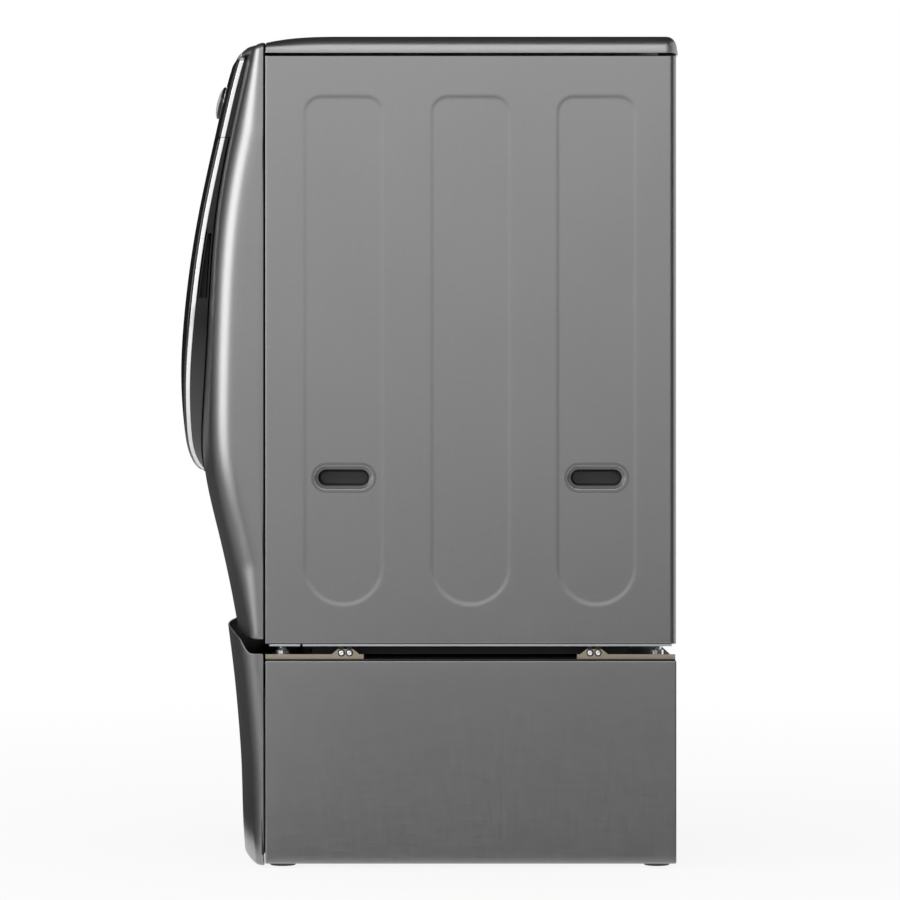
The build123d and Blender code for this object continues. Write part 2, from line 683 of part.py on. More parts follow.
def door_hinge_leaf():
    """Door half of the hinge: a plate with two knuckles, fixed inside the door."""
    z0, z1 = HINGE_Z - HINGE_REACH, HINGE_Z + HINGE_REACH
    leaf = box(-290, -264, HINGE_Y - 9, HINGE_Y - 2.5, z0, z1)
    knuckle_height = 18.0
    for low, high in ((z0, z0 + knuckle_height), (z1 - knuckle_height, z1)):
        knuckle = rod(HINGE_BARREL_RADIUS, (HINGE_X, HINGE_Y, low), (HINGE_X, HINGE_Y, high))
        arm = box(HINGE_X, -280, HINGE_Y - 5, HINGE_Y + 0.5, low, high)
        leaf = leaf + knuckle + arm
    return leaf - rod(HINGE_PIN_RADIUS, (HINGE_X, HINGE_Y, z0 - 1), (HINGE_X, HINGE_Y, z1 + 1))


def door_hinge_pin():
    """Steel pin held in the door's knuckles."""
    foot = (HINGE_X, HINGE_Y, HINGE_Z - HINGE_REACH)
    return rod(HINGE_PIN_RADIUS, foot, (HINGE_X, HINGE_Y, HINGE_Z + HINGE_REACH))


def door_hinge_bracket():
    """Fixed half of the hinge: a middle knuckle on a web that stands on the front panel."""
    z0, z1 = HINGE_Z - HINGE_REACH + 20, HINGE_Z + HINGE_REACH - 20
    knuckle = rod(HINGE_BARREL_RADIUS, (HINGE_X, HINGE_Y, z0), (HINGE_X, HINGE_Y, z1))
    web = box(HINGE_X - 4, HINGE_X + 4, HINGE_Y, -330, z0, z1)
    bracket = (knuckle + web) & layer(shifted(PANEL_PROFILE, FAR), FAR - 0.3)
    bore = rod(HINGE_PIN_RADIUS + RUNNING_FIT, (HINGE_X, HINGE_Y, z0 - 1), (HINGE_X, HINGE_Y, z1 + 1))
    return bracket - bore


def hook_shank(grow):
    """Flat shank of the door hook."""
    y0 = front_panel_depth(LOCK_X, LOCK_Z) - DOOR_GAP - DOOR_PLATE - 8
    return box(LOCK_X - 3 - grow, LOCK_X + 3 + grow, y0, y0 + 46, LOCK_Z - 7 - grow, LOCK_Z + 7 + grow)


def door_hook():
    """Hook on the door that the lock catches."""
    y0 = front_panel_depth(LOCK_X, LOCK_Z) - DOOR_GAP - DOOR_PLATE - 8
    foot = box(LOCK_X - 9, LOCK_X + 9, y0, y0 + 3.5, LOCK_Z - 12, LOCK_Z + 12)
    window = box(LOCK_X - 4, LOCK_X + 4, y0 + 28, y0 + 40, LOCK_Z - 4, LOCK_Z + 4)
    return hook_shank(0) + foot - window


def door_lock():
    """Lock body behind the front panel with a slot for the hook."""
    y0 = front_panel_depth(LOCK_X, LOCK_Z) + SHEET + 7
    body = box(LOCK_X - 22, LOCK_X + 22, y0, y0 + 44, LOCK_Z - 32, LOCK_Z + 32)
    return body - box(LOCK_X - 8, LOCK_X + 8, y0 - 1, y0 + 38, LOCK_Z - 12, LOCK_Z + 12)


def door_gasket():
    """Rubber bellows between the door opening and the tub."""
    points = [(206.6, -350), (206.6, -368), (190, -373), (188, -369), (202, -363), (202, -350), (194, -345),
              (194, -340), (212, -326), (212, -300), (218.6, -300), (218.6, -331), (200, -342), (206.6, -346)]
    return turned(points)


# Tub and drum
def tub_front():
    """Front half of the tub with the neck for the seal."""
    radius, inner = TUB_RADIUS, TUB_RADIUS - TUB_WALL
    points = [(219, -318), (225, -318), (225, TUB_FRONT_Y), (radius, TUB_FRONT_Y), (radius, TUB_SPLIT_Y - 1),
              (inner, TUB_SPLIT_Y - 1), (inner, TUB_FRONT_Y + TUB_WALL), (219, TUB_FRONT_Y + TUB_WALL)]
    flange = [(inner + 1, TUB_SPLIT_Y - 9), (radius + 10, TUB_SPLIT_Y - 9), (radius + 10, TUB_SPLIT_Y - 1),
              (inner + 1, TUB_SPLIT_Y - 1)]
    return turned(points) + turned(flange)


def tub_rear():
    """Rear half of the tub with ribs and the bearing hub."""
    radius, inner = TUB_RADIUS, TUB_RADIUS - TUB_WALL
    back = TUB_BACK_Y
    points = [(inner, TUB_SPLIT_Y), (radius + 10, TUB_SPLIT_Y), (radius + 10, TUB_SPLIT_Y + 8),
              (radius, TUB_SPLIT_Y + 8), (radius, back), (58, back), (58, back + 38), (46, back + 38),
              (46, back - TUB_WALL), (inner, back - TUB_WALL)]
    tub = turned(points)
    for index in range(12):
        angle = 30.0 * index
        rib = box(60, radius - 6, back, back + 5, -2, 2)
        tub = tub + Pos(0, 0, DRUM_Z) * Rot(0, angle, 0) * rib
    return tub


def drum_bearings():
    """Two ball bearings in the hub."""
    rings = [(TUB_BACK_Y - 5, TUB_BACK_Y + 12), (TUB_BACK_Y + 20, TUB_BACK_Y + 37)]
    bore = SHAFT_RADIUS + RUNNING_FIT
    return group([turned([(bore, y0), (45.9, y0), (45.9, y1), (bore, y1)]) for y0, y1 in rings])


def motor_stator():
    """Wound ring of the direct drive motor on the tub's hub."""
    core = turned([(59, 300), (96, 300), (96, 324), (59, 324)])
    teeth = core
    for index in range(18):
        tooth = box(94, 122, 302, 322, -6, 6)
        teeth = teeth + Pos(0, 0, DRUM_Z) * Rot(0, 20.0 * index, 0) * tooth
    return teeth


def motor_rotor():
    """Rotor cup with its magnet ring, on the end of the shaft."""
    hub = [(12, 333.4), (12, 346), (30, 346), (30, 340)]
    magnet_ring = [(140, 340), (140, 299), (127, 299), (127, 333.4)]
    return turned(hub + magnet_ring)


def drum_shell():
    """Stainless drum wall with a rolled front lip."""
    r, y0 = DRUM_RADIUS, DRUM_FRONT_Y
    outer = [(226, y0 - 4), (240, y0 - 4), (r + SHEET, y0 + 10), (r + SHEET, DRUM_BACK_Y)]
    inner = [(r, DRUM_BACK_Y), (r, y0 + 12), (240, y0 - 2), (226, y0 - 2)]
    return turned(outer + inner)


def drum_back():
    """Dished back plate of the drum."""
    r = DRUM_RADIUS - 0.2
    return turned([(0, 262), (150, 258), (r, 262), (r, 266), (150, 262), (0, 266)])


def drum_lifters():
    """Three paddles inside the drum."""
    lifters = []
    for angle in (90, 210, 330):
        outline = make_face(Polyline((-46, -24), (46, -24), (22, 46), (-22, 46), close=True))
        lifter = along_y(Pos(0, -265) * outline, -210, 210)
        lifter = lifter & rod(DRUM_RADIUS - 0.3, (0, -220, 0), (0, 220, 0))
        lifters.append(Pos(0, 0, DRUM_Z) * Rot(0, angle, 0) * lifter)
    return group(lifters)


def drum_spider():
    """Three armed cross with the drive shaft."""
    spider = rod(42, (0, 266.2, DRUM_Z), (0, 279, DRUM_Z))
    for angle in (30, 150, 270):
        arm = box(30, DRUM_RADIUS - 4, 266.3, 277, -22, 22)
        spider = spider + Pos(0, 0, DRUM_Z) * Rot(0, angle, 0) * arm
    shaft = rod(SHAFT_RADIUS, (0, 276, DRUM_Z), (0, 331, DRUM_Z))
    shaft_end = rod(12, (0, 330, DRUM_Z), (0, 352, DRUM_Z))
    return spider + shaft + shaft_end


def counterweight(upper):
    """Half ring of concrete bolted to the tub's front."""
    ring = turned([(234, -336), (312, -336), (312, TUB_FRONT_Y - 0.2), (234, TUB_FRONT_Y - 0.2)])
    low, high = (DRUM_Z + 130, 1400) if upper else (500, DRUM_Z - 70)
    return ring & box(-400, 400, -400, 0, low, high)


def counterweights():
    return group([counterweight(True), counterweight(False)])


def tub_springs():
    """Two hanging springs, as the tubes that their coils fill."""
    return both_sides(pipe(SPRING_RADIUS, SPRING_RADIUS - 4, SPRING_BOTTOM, SPRING_TOP))


def damper_point(share):
    """Point along the right damper, 0 at the foot and 1 at the tub."""
    return tuple(a + (b - a) * share for a, b in zip(DAMPER_FOOT, DAMPER_TOP))


def tub_dampers():
    """Two friction dampers, each a tube with a rod in it."""
    tube = pipe(17, 13, damper_point(0), damper_point(0.55))
    plunger = rod(12.9, damper_point(0.2), damper_point(0.93))
    return group([tube, mirrored(tube), plunger, mirrored(plunger)])


# Water and power
def drain_pump():
    """Pump with its filter housing on the cabinet's floor."""
    housing = rod(42, (-190, -240, 440), (-190, -120, 440))
    motor = rod(34, (-190, -120, 440), (-190, -50, 440))
    return housing + motor + rod(12, (-190, -180, 440), (-130, -180, 500))


def inlet_valve():
    """Twin solenoid valve with two threaded inlets in a recess of the back."""
    y1 = 421.0
    plate = box(-292, -168, 396, 399, 1256, 1324)
    valve = plate
    for x in INLET_XS:
        valve = valve + rod(13.2, (x, 398, CONNECTION_Z), (x, y1 + 7, CONNECTION_Z))
        valve = valve + rod(17, (x, 350, CONNECTION_Z), (x, 397, CONNECTION_Z))
        valve = valve - rod(8, (x, 404, CONNECTION_Z), (x, y1 + 8, CONNECTION_Z))
    return valve


def drain_outlet():
    """Spigot for the drain hose."""
    spigot = pipe(16, 12, (DRAIN_X, 380, CONNECTION_Z), (DRAIN_X, 428.5, CONNECTION_Z))
    return spigot + pipe(25.5, 12, (DRAIN_X, 414, CONNECTION_Z), (DRAIN_X, 418, CONNECTION_Z))


def power_gland():
    """Grommet where the mains lead enters."""
    return pipe(10.8, 5, (POWER_X, 420, CONNECTION_Z), (POWER_X, 428.5, CONNECTION_Z))


def control_box():
    """Case of the main circuit board under the top cover."""
    case = box(80, 330, -250, -60, 1272, 1346)
    return case - box(83, 327, -247, -63, 1275, 1343)


# Mounting brackets
def screw_places():
    """Places along the machine of the screws, two to a bracket."""
    middles = [y + offset for y, offset in zip(BRACKET_CENTRES_Y, BRACKET_TAB_OFFSETS)]
    return [middle + step * SCREW_SPACING for middle in middles for step in (-0.5, 0.5)]


def bracket(y, tab_offset):
    """Plated strip on the pedestal's edge with an upright tab for two screws."""
    x1 = HALF_WIDTH - BRACKET_SETBACK
    y0 = y - BRACKET_LENGTH / 2
    y1 = y + BRACKET_LENGTH / 2
    strip = box(x1 - 30, x1, y0, y1, DECK_TOP + 0.1, DECK_TOP + 0.1 + BRACKET_SHEET)
    fold = box(x1 - BRACKET_SHEET, x1, y0, y1, DECK_TOP + 0.1, DECK_TOP + 8)
    middle = y + tab_offset
    tab_face = Polyline((middle - TAB_HALF_FOOT, DECK_TOP + 6), (middle + TAB_HALF_FOOT, DECK_TOP + 6),
                        (middle + TAB_HALF_TOP, TAB_TOP), (middle - TAB_HALF_TOP, TAB_TOP), close=True)
    tab = along_x(make_face(tab_face), x1 - BRACKET_SHEET, x1)
    return strip + fold + tab


def mounting_brackets():
    shapes = [bracket(y, offset) for y, offset in zip(BRACKET_CENTRES_Y, BRACKET_TAB_OFFSETS)]
    return group(shapes + [mirrored(shape) for shape in shapes])


def bracket_screws():
    """Pan headed screws through the bracket tabs."""
    x0 = HALF_WIDTH - BRACKET_SETBACK + 0.05
    screws = [rod(SCREW_RADIUS, (x0, y, SCREW_Z), (x0 + 2.8, y, SCREW_Z)) for y in screw_places()]
    return group(screws + [mirrored(screw) for screw in screws])


# Pedestal
def pedestal_side():
    """Right wall of the pedestal: a tray of sheet metal."""
    inner_x = HALF_WIDTH - FLANGE
    outer = box(inner_x, HALF_WIDTH, SIDE_FRONT_Y, CABINET_REAR_Y, PEDESTAL_BOTTOM, PEDESTAL_TOP)
    return outer - box(inner_x - 1, HALF_WIDTH - SHEET, SIDE_FRONT_Y + SHEET, CABINET_REAR_Y - SHEET,
                       PEDESTAL_BOTTOM + SHEET, PEDESTAL_TOP - SHEET)


def pedestal_rear():
    """Back sheet of the pedestal."""
    half = HALF_WIDTH - 8
    y1 = CABINET_REAR_Y - SHEET - 0.05
    return box(-half, half, y1 - SHEET, y1, PEDESTAL_BOTTOM + 3, PEDESTAL_TOP - 3)


def pedestal_deck():
    """Top plate that the cabinet's feet stand on."""
    half = HALF_WIDTH - 1
    deck = box(-half, half, SIDE_FRONT_Y + 2, CABINET_REAR_Y - 2, PEDESTAL_TOP + 0.1, DECK_TOP)
    stiffener = box(-330, 330, SIDE_FRONT_Y + 4, SIDE_FRONT_Y + 8, PEDESTAL_TOP - 24, PEDESTAL_TOP + 0.2)
    return deck + stiffener


def pedestal_base():
    """Bottom plate of the pedestal."""
    half = HALF_WIDTH - SHEET - 1
    z0 = PEDESTAL_BOTTOM + SHEET + 0.1
    return box(-half, half, SIDE_FRONT_Y + 4, CABINET_REAR_Y - 6, z0, z0 + 3)


def pedestal_feet():
    """Four rubber feet under the pedestal."""
    return group([rod(22, (x, y, 0), (x, y, PEDESTAL_BOTTOM - 0.05)) for x, y in corner_places()])


def drawer_outline(inset):
    """Front view of the pedestal drawer: level lip in the middle that falls to both sides."""
    half = HALF_WIDTH - inset
    bottom = DRAWER_FRONT_BOTTOM + inset
    right = [(0, LIP_TOP), (200, LIP_TOP - 1), (268, LIP_TOP - 8), (312, LIP_TOP - 19), (340, LIP_SIDE + 3),
             (half, LIP_SIDE)]
    left = [(-x, z) for x, z in reversed(right[1:])]
    top = Spline(*(left + right))
    return make_face([top, Line((half, LIP_SIDE), (half, bottom)), Line((half, bottom), (-half, bottom)),
                      Line((-half, bottom), (-half, LIP_SIDE))])


def drawer_front():
    """Crowned drawer front: a hollow shell whose upper edge flares out as a pull lip."""
    outer = front_block(DRAWER_PROFILE, 0, 2, 410, DRAWER_CORNER)
    outer = outer & along_y(drawer_outline(0), -500, -200)
    inner = front_block(DRAWER_PROFILE, DRAWER_SHELL, DRAWER_FRONT_BOTTOM + DRAWER_SHELL, 415, DRAWER_CORNER)
    shell = outer - inner
    half = HALF_WIDTH - DRAWER_SHELL + 0.5
    return shell + box(-half, half, FRONT_BACK_Y - DRAWER_PLATE, FRONT_BACK_Y, 20, 336)


def drawer_box():
    """Open drawer of folded sheet."""
    wall = 2.0
    y0 = FRONT_BACK_Y + 0.1
    outer = box(-DRAWER_HALF, DRAWER_HALF, y0, DRAWER_BOX_BACK_Y, DRAWER_BOX_Z0, DRAWER_BOX_Z1)
    return outer - box(-DRAWER_HALF + wall, DRAWER_HALF - wall, y0 + wall, DRAWER_BOX_BACK_Y - wall,
                       DRAWER_BOX_Z0 + wall, DRAWER_BOX_Z1 + 1)


def drawer_slides_fixed():
    """Outer rails on the pedestal's walls."""
    x0, x1 = DRAWER_HALF + 8, HALF_WIDTH - FLANGE - 0.2
    rail = box(x0, x1, SIDE_FRONT_Y + 6, 360, SLIDE_Z - 24, SLIDE_Z + 24)
    return both_sides(rail - box(x0 - 1, x1 - 3, SIDE_FRONT_Y + 5, 361, SLIDE_Z - 20, SLIDE_Z + 20))


def drawer_slides_moving():
    """Inner rails on the drawer's sides."""
    x0, x1 = DRAWER_HALF + 0.1, HALF_WIDTH - FLANGE - 4
    rail = box(x0, x1, FRONT_BACK_Y + 8, DRAWER_BOX_BACK_Y - 10, SLIDE_Z - 18, SLIDE_Z + 18)
    return both_sides(rail)


def left_hand(side_function):
    """Left hand version of a right hand piece."""
    return lambda: mirrored(side_function())


MAKERS = [
    carry_grips, top_cover, front_panel, base_pan, cross_braces, rear_panel, rear_access_cover,
    shipping_bolt_caps, levelling_feet, fascia_glass, display_window, control_fascia, fascia_trim,
    control_knob, power_button, start_button, dispenser_housing, detergent_drawer_front,
    detergent_drawer_tray, door_glass, door_rim, door_frame, door_bowl, door_hinge_leaf, door_hinge_pin,
    door_hinge_bracket, door_hook, door_lock, door_gasket, tub_front, tub_rear, drum_bearings,
    motor_stator, motor_rotor, drum_shell, drum_back, drum_lifters, drum_spider, counterweights,
    tub_springs, tub_dampers, drain_pump, inlet_valve, drain_outlet, power_gland, control_box,
    mounting_brackets, bracket_screws, pedestal_rear, pedestal_deck, pedestal_base, pedestal_feet,
    drawer_front, drawer_box, drawer_slides_fixed, drawer_slides_moving,
]
PIECES = {make.__name__: make for make in MAKERS}
PIECES["side_panel_right"] = side_panel
PIECES["side_panel_left"] = left_hand(side_panel)
PIECES["pedestal_side_right"] = pedestal_side
PIECES["pedestal_side_left"] = left_hand(pedestal_side)

for name, make in PIECES.items():
    export_step(make(), f"parts/{name}.step")
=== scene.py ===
# %% [markdown]
# Front load washing machine on a drawer pedestal.
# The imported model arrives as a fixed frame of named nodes. This lesson dresses that frame: it gives every
# node a procedural finish and swaps the plain shells for smooth surfaces worked out with numpy.
# All sizes below are millimetres, and one helper turns them into Blender's metres.

# %% Load the frame
import json
import math

import bmesh
import bpy
import numpy as np
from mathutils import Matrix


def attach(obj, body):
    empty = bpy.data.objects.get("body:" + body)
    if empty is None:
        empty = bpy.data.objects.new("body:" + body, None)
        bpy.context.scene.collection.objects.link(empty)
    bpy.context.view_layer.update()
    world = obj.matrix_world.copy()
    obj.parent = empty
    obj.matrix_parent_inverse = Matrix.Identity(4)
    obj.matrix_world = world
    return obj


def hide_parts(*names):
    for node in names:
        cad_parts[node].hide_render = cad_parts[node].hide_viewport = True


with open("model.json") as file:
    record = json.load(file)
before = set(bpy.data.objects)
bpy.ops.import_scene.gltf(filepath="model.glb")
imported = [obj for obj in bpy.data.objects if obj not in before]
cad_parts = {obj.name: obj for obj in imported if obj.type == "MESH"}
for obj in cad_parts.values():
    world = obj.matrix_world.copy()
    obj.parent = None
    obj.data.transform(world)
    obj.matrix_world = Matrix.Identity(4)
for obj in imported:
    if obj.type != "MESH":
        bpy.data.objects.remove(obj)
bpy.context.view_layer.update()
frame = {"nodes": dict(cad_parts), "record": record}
node_slot = {part["node"]: part["material_slot"] for part in frame["record"]["subparts"]}

# %% [markdown]
# The picture was taken square to the right hand side, from far away, at about half the machine's height.
# A long lens at six metres gives the same flat perspective. The focal length is worked out in pixels first,
# because the frame is known in pixels, and then turned into millimetres of lens.

# %% Camera
CAMERA_AWAY = 6.0
CAMERA_Y = 0.0453
CAMERA_Z = 0.7034
FOCAL_PIXELS = 3352.4
IMAGE_PIXELS = 900
SENSOR = 36.0

camera_data = bpy.data.cameras.new("camera")
camera_data.sensor_width = SENSOR
camera_data.lens = FOCAL_PIXELS * SENSOR / IMAGE_PIXELS
camera = bpy.data.objects.new("camera", camera_data)
camera.location = (CAMERA_AWAY, CAMERA_Y, CAMERA_Z)
camera.rotation_euler = (math.pi / 2, 0.0, math.pi / 2)
bpy.context.scene.collection.objects.link(camera)
bpy.context.scene.camera = camera
bpy.context.scene.view_settings.view_transform = "Standard"
print("lens:", round(camera_data.lens, 1))

# %% [markdown]
# Shader maths reads best as plain arithmetic. The small class below wraps one output of a node, and each
# operator on it adds a Math node. The second class is a node tree under construction: its add method makes
# any node from a type, its settings and its sockets. The third is a material, with the patterns and the coat
# that the finishes share.

# %% Shader helpers
EVEN = (1.0, 1.0, 1.0)


def connect(tree, socket, value):
    """Link a wrapped output to a socket, or set the socket's own value."""
    if isinstance(value, Shade):
        tree.links.new(value.socket, socket)
    elif value is not None:
        socket.default_value = value


class Shade:
    """One output of a node. Arithmetic on it adds Math nodes to the same tree."""

    def __init__(self, socket):
        self.socket = socket

    def math(self, operation, first, second=None):
        tree = self.socket.id_data
        node = tree.nodes.new("ShaderNodeMath")
        node.operation = operation
        connect(tree, node.inputs[0], first)
        connect(tree, node.inputs[1], second)
        return Shade(node.outputs[0])

    def __add__(self, other):
        return self.math("ADD", self, other)

    def __sub__(self, other):
        return self.math("SUBTRACT", self, other)

    def __mul__(self, other):
        return self.math("MULTIPLY", self, other)


class Nodes:
    """A node tree under construction, of a material or of the world."""

    def __init__(self, owner, main):
        owner.use_nodes = True
        self.tree = owner.node_tree
        self.shader = self.tree.nodes[main]

    def feed(self, sockets):
        """Set or link sockets of the main shader."""
        for name, value in sockets.items():
            connect(self.tree, self.shader.inputs[name], value)

    def add(self, kind, settings, sockets, output=0):
        """Make one node: its type, its settings, its sockets' values or links, and the output wanted."""
        node = self.tree.nodes.new("ShaderNode" + kind)
        for name, value in settings.items():
            setattr(node, name, value)
        for name, value in sockets.items():
            connect(self.tree, node.inputs[name], value)
        return Shade(node.outputs[output])

    def seen(self):
        """1 for what the camera, a reflection or a clear part shows, 0 for the light that falls on things."""
        kinds = ("Camera", "Glossy", "Transmission")
        camera, glossy, clear = [self.add("LightPath", {}, {}, f"Is {kind} Ray") for kind in kinds]
        return camera.math("MINIMUM", camera + glossy + clear, 1.0)


class Finish(Nodes):
    """A material under construction round one Principled shader."""

    def __init__(self, name, constants):
        self.material = bpy.data.materials.new(name)
        super().__init__(self.material, "Principled BSDF")
        self.feed(constants)

    def place(self, stretch=EVEN):
        """Object coordinates, stretched along the three axes."""
        spot = self.add("TexCoord", {}, {}, "Object")
        return self.add("Mapping", {}, {"Vector": spot, "Scale": stretch})

    def noise(self, scale, stretch=EVEN, detail=3.0):
        """Noise of a number of grains per metre."""
        sockets = {"Vector": self.place(stretch), "Scale": scale, "Detail": detail}
        return self.add("TexNoise", {}, sockets, "Fac")

    def cells(self, scale):
        """Distance to the nearest point of a random scatter."""
        return self.add("TexVoronoi", {}, {"Vector": self.place(), "Scale": scale}, "Distance")

    def ramp(self, value, start, end):
        """Smooth step of a value: 0 at the start and 1 at the end."""
        sockets = {"Value": value, "From Min": start, "From Max": end}
        return self.add("MapRange", {"interpolation_type": "SMOOTHSTEP"}, sockets)

    def mix(self, factor, first, second):
        """Blend of two colours."""
        return self.add("Mix", {"data_type": "RGBA"}, {0: factor, 6: first, 7: second}, 2)

    def coat(self, tone, dark, light, rough, relief, strength, depth):
        """Colour from dark to light by a tone pattern, a roughness, and a relief that tilts the shading
        normal. That completes the material."""
        bump = self.add("Bump", {}, {"Height": relief, "Strength": strength, "Distance": depth})
        self.feed({"Base Color": self.mix(tone, dark, light), "Roughness": rough, "Normal": bump})
        return self.material


def shade_of(colour, factor):
    """A colour made lighter or darker, with full opacity."""
    return tuple(channel * factor for channel in colour) + (1.0,)


# %% [markdown]
# The finishes fall into a few families. Sheet metal, chrome and plated parts are metals with a fine grain:
# the grain changes the roughness and tilts the surface a little, and a broad noise keeps large faces from
# looking like one flat colour. Plastics and rubber have a moulded texture instead. Glass is clear or smoked.

# %% Families of finishes
GRAIN_DEPTH = 0.0002
PEBBLE_DEPTH = 0.0003


def metal(name, colour, metallic, roughness, grain, relief, stretch=EVEN):
    """Metal: broad tone changes, grain in the roughness, and the grain again as a shallow relief."""
    finish = Finish(name, {"Metallic": metallic})
    broad = finish.noise(5.0)
    fine = finish.noise(grain, stretch)
    return finish.coat(broad, shade_of(colour, 0.95), shade_of(colour, 1.05),
                       (fine - 0.5) * 0.12 + roughness, fine, relief, GRAIN_DEPTH)


def brushed(name, colour, roughness):
    """Satin steel: fine hairlines both ways, so faint that they read as linen, over broad tone changes."""
    finish = Finish(name, {"Metallic": 0.92})
    broad = finish.noise(5.0)
    level = finish.noise(420.0, (1.0, 0.06, 1.0), 2.0)
    upright = finish.noise(420.0, (1.0, 1.0, 0.06), 2.0)
    weave = (level + upright) * 0.5
    tone = (broad - 0.5) * 0.5 + weave
    return finish.coat(tone, shade_of(colour, 0.93), shade_of(colour, 1.07),
                       (weave - 0.5) * 0.16 + roughness, weave, 0.05, GRAIN_DEPTH)


def moulded(name, colour, roughness, grain, relief, gloss=0.45):
    """Moulded plastic or rubber: a pebbled skin of small cells and slight changes of tone."""
    finish = Finish(name, {"Specular IOR Level": gloss})
    broad = finish.noise(9.0)
    return finish.coat(broad, shade_of(colour, 0.92), shade_of(colour, 1.08),
                       (broad - 0.5) * 0.1 + roughness, finish.cells(grain), relief, PEBBLE_DEPTH)


def painted_floor_light_plastic(name, upper, lower, heights):
    """Dark plastic painted paler towards its lower end: painted light, as if from the floor."""
    finish = Finish(name, {"Specular IOR Level": 0.26})
    # painted light: the colour ramps with height, from the paler lower colour to the darker upper one
    height = finish.add("SeparateXYZ", {}, {"Vector": finish.place()}, "Z")
    climb = finish.ramp(height, *heights)
    return finish.coat(climb, shade_of(lower, 1.0), shade_of(upper, 1.0), 0.34, finish.cells(900.0), 0.03,
                       PEBBLE_DEPTH)


def smoked_glass(name):
    """Nearly black glass: a polished face with faint waviness and a trace of wiping marks."""
    finish = Finish(name, {"IOR": 1.5, "Coat Weight": 0.3, "Coat Roughness": 0.02})
    wave = finish.noise(14.0)
    wiped = finish.noise(40.0, (1.0, 1.0, 0.15))
    return finish.coat(wave, (0.006, 0.0062, 0.007, 1.0), (0.013, 0.0133, 0.0145, 1.0), wiped * 0.05 + 0.03,
                       wave, 0.02, 0.001)


def clear_glass(name):
    """Pressed clear glass with the soft ripples of its mould."""
    finish = Finish(name, {"IOR": 1.48, "Transmission Weight": 1.0})
    ripple = finish.noise(22.0)
    return finish.coat(ripple, (0.86, 0.91, 0.9, 1.0), (0.94, 0.97, 0.96, 1.0), ripple * 0.04 + 0.01,
                       ripple, 0.05, 0.002)


def glowing(name, colour, strength):
    """Lit segment: a pale colour that shines by itself, a little unevenly."""
    finish = Finish(name, {"Roughness": 0.4, "Emission Strength": strength})
    uneven = finish.noise(60.0)
    finish.feed({"Emission Color": finish.mix(uneven, shade_of(colour, 0.9), shade_of(colour, 1.05))})
    return finish.material


def cast_stone(name):
    """Concrete: grey paste, darker grains of sand and small open pores."""
    finish = Finish(name, {"Specular IOR Level": 0.3})
    sand = finish.noise(350.0)
    return finish.coat(sand, (0.28, 0.275, 0.265, 1.0), (0.5, 0.49, 0.47, 1.0), sand * 0.2 + 0.75,
                       finish.cells(120.0), 0.4, 0.001)


ALONG_Y = (1.0, 0.04, 1.0)
ALONG_Z = (1.0, 1.0, 0.04)
FINISHES = {
    "graphite_metal": brushed("graphite metal", (0.288, 0.289, 0.291), 0.34),
    "grey_sheet": metal("galvanised sheet", (0.4, 0.41, 0.42), 0.85, 0.48, 60.0, 0.05),
    # painted shade: near black for the parts in the gap between machine and pedestal, and for the screw
    # washers, so that the gap reads as its shade
    "dark_enamel": metal("near black painted gap shade", (0.012, 0.012, 0.013), 0.0, 0.45, 300.0, 0.05),
    "black_plastic": moulded("black plastic", (0.022, 0.022, 0.023), 0.42, 900.0, 0.12),
    "dark_glass": smoked_glass("smoked glass"),
    # painted reflection: the chrome is only partly metal, and its white diffuse share keeps the rim bright
    # where a mirror would show dark cards
    "chrome_trim": metal("chrome", (0.95, 0.95, 0.955), 0.45, 0.13, 30.0, 0.01),
    "grip_plastic": moulded("grip plastic", (0.04, 0.04, 0.042), 0.36, 900.0, 0.05),
    "grip_ring": moulded("grip ring plastic", (0.14, 0.14, 0.144), 0.36, 900.0, 0.05),
    "button_plastic": moulded("button plastic", (0.02, 0.02, 0.021), 0.24, 900.0, 0.03),
    "dull_black": moulded("dull black plastic", (0.008, 0.008, 0.008), 0.6, 900.0, 0.03, 0.1),
    # painted light: the door wall plastic is painted paler low down, as if lit from the floor
    "door_wall": painted_floor_light_plastic("door wall plastic with painted floor light", (0.014, 0.014, 0.015), (0.1, 0.1, 0.102), (0.68, 0.95)),
    "tray_plastic": moulded("tray plastic", (0.62, 0.64, 0.66), 0.4, 700.0, 0.06),
    "bowl_glass": clear_glass("pressed glass"),
    "zinc_steel": metal("bright zinc", (0.68, 0.69, 0.7), 1.0, 0.32, 400.0, 0.08),
    "bright_bolt": metal("bright bolt", (0.95, 0.96, 0.98), 0.7, 0.25, 300.0, 0.05),
    # painted highlight: a less metallic finish that makes the drawer lip's bead read as a lighter line
    "lip_edge_highlight": metal("lip edge painted highlight", (0.25, 0.25, 0.255), 0.5, 0.4, 300.0, 0.05),
    # painted highlight: the knob face is mostly diffuse silver, so that its edge shows a bright crescent
    # where a chrome dome would reflect dark
    "silver_painted_sheen": metal("silver with painted sheen", (0.66, 0.66, 0.67), 0.3, 0.3, 500.0, 0.03),
    "yellow_zinc": metal("yellow zinc", (0.34, 0.3, 0.225), 0.45, 0.5, 250.0, 0.08),
    "grey_rubber": moulded("grey rubber", (0.13, 0.13, 0.135), 0.62, 500.0, 0.1),
    "stainless": metal("stainless steel", (0.58, 0.58, 0.59), 1.0, 0.28, 700.0, 0.05, ALONG_Y),
    "display_light": glowing("display light", (0.62, 0.8, 0.95), 0.9),
    "white_plastic": moulded("white plastic", (0.66, 0.66, 0.64), 0.45, 700.0, 0.08),
    "concrete": cast_stone("concrete"),
    "cast_aluminium": metal("cast aluminium", (0.56, 0.57, 0.58), 1.0, 0.5, 300.0, 0.2),
    "motor_metal": metal("motor windings", (0.36, 0.2, 0.1), 0.7, 0.4, 500.0, 0.2, ALONG_Z),
    "spring_steel": metal("spring steel", (0.3, 0.3, 0.31), 1.0, 0.35, 300.0, 0.06),
}
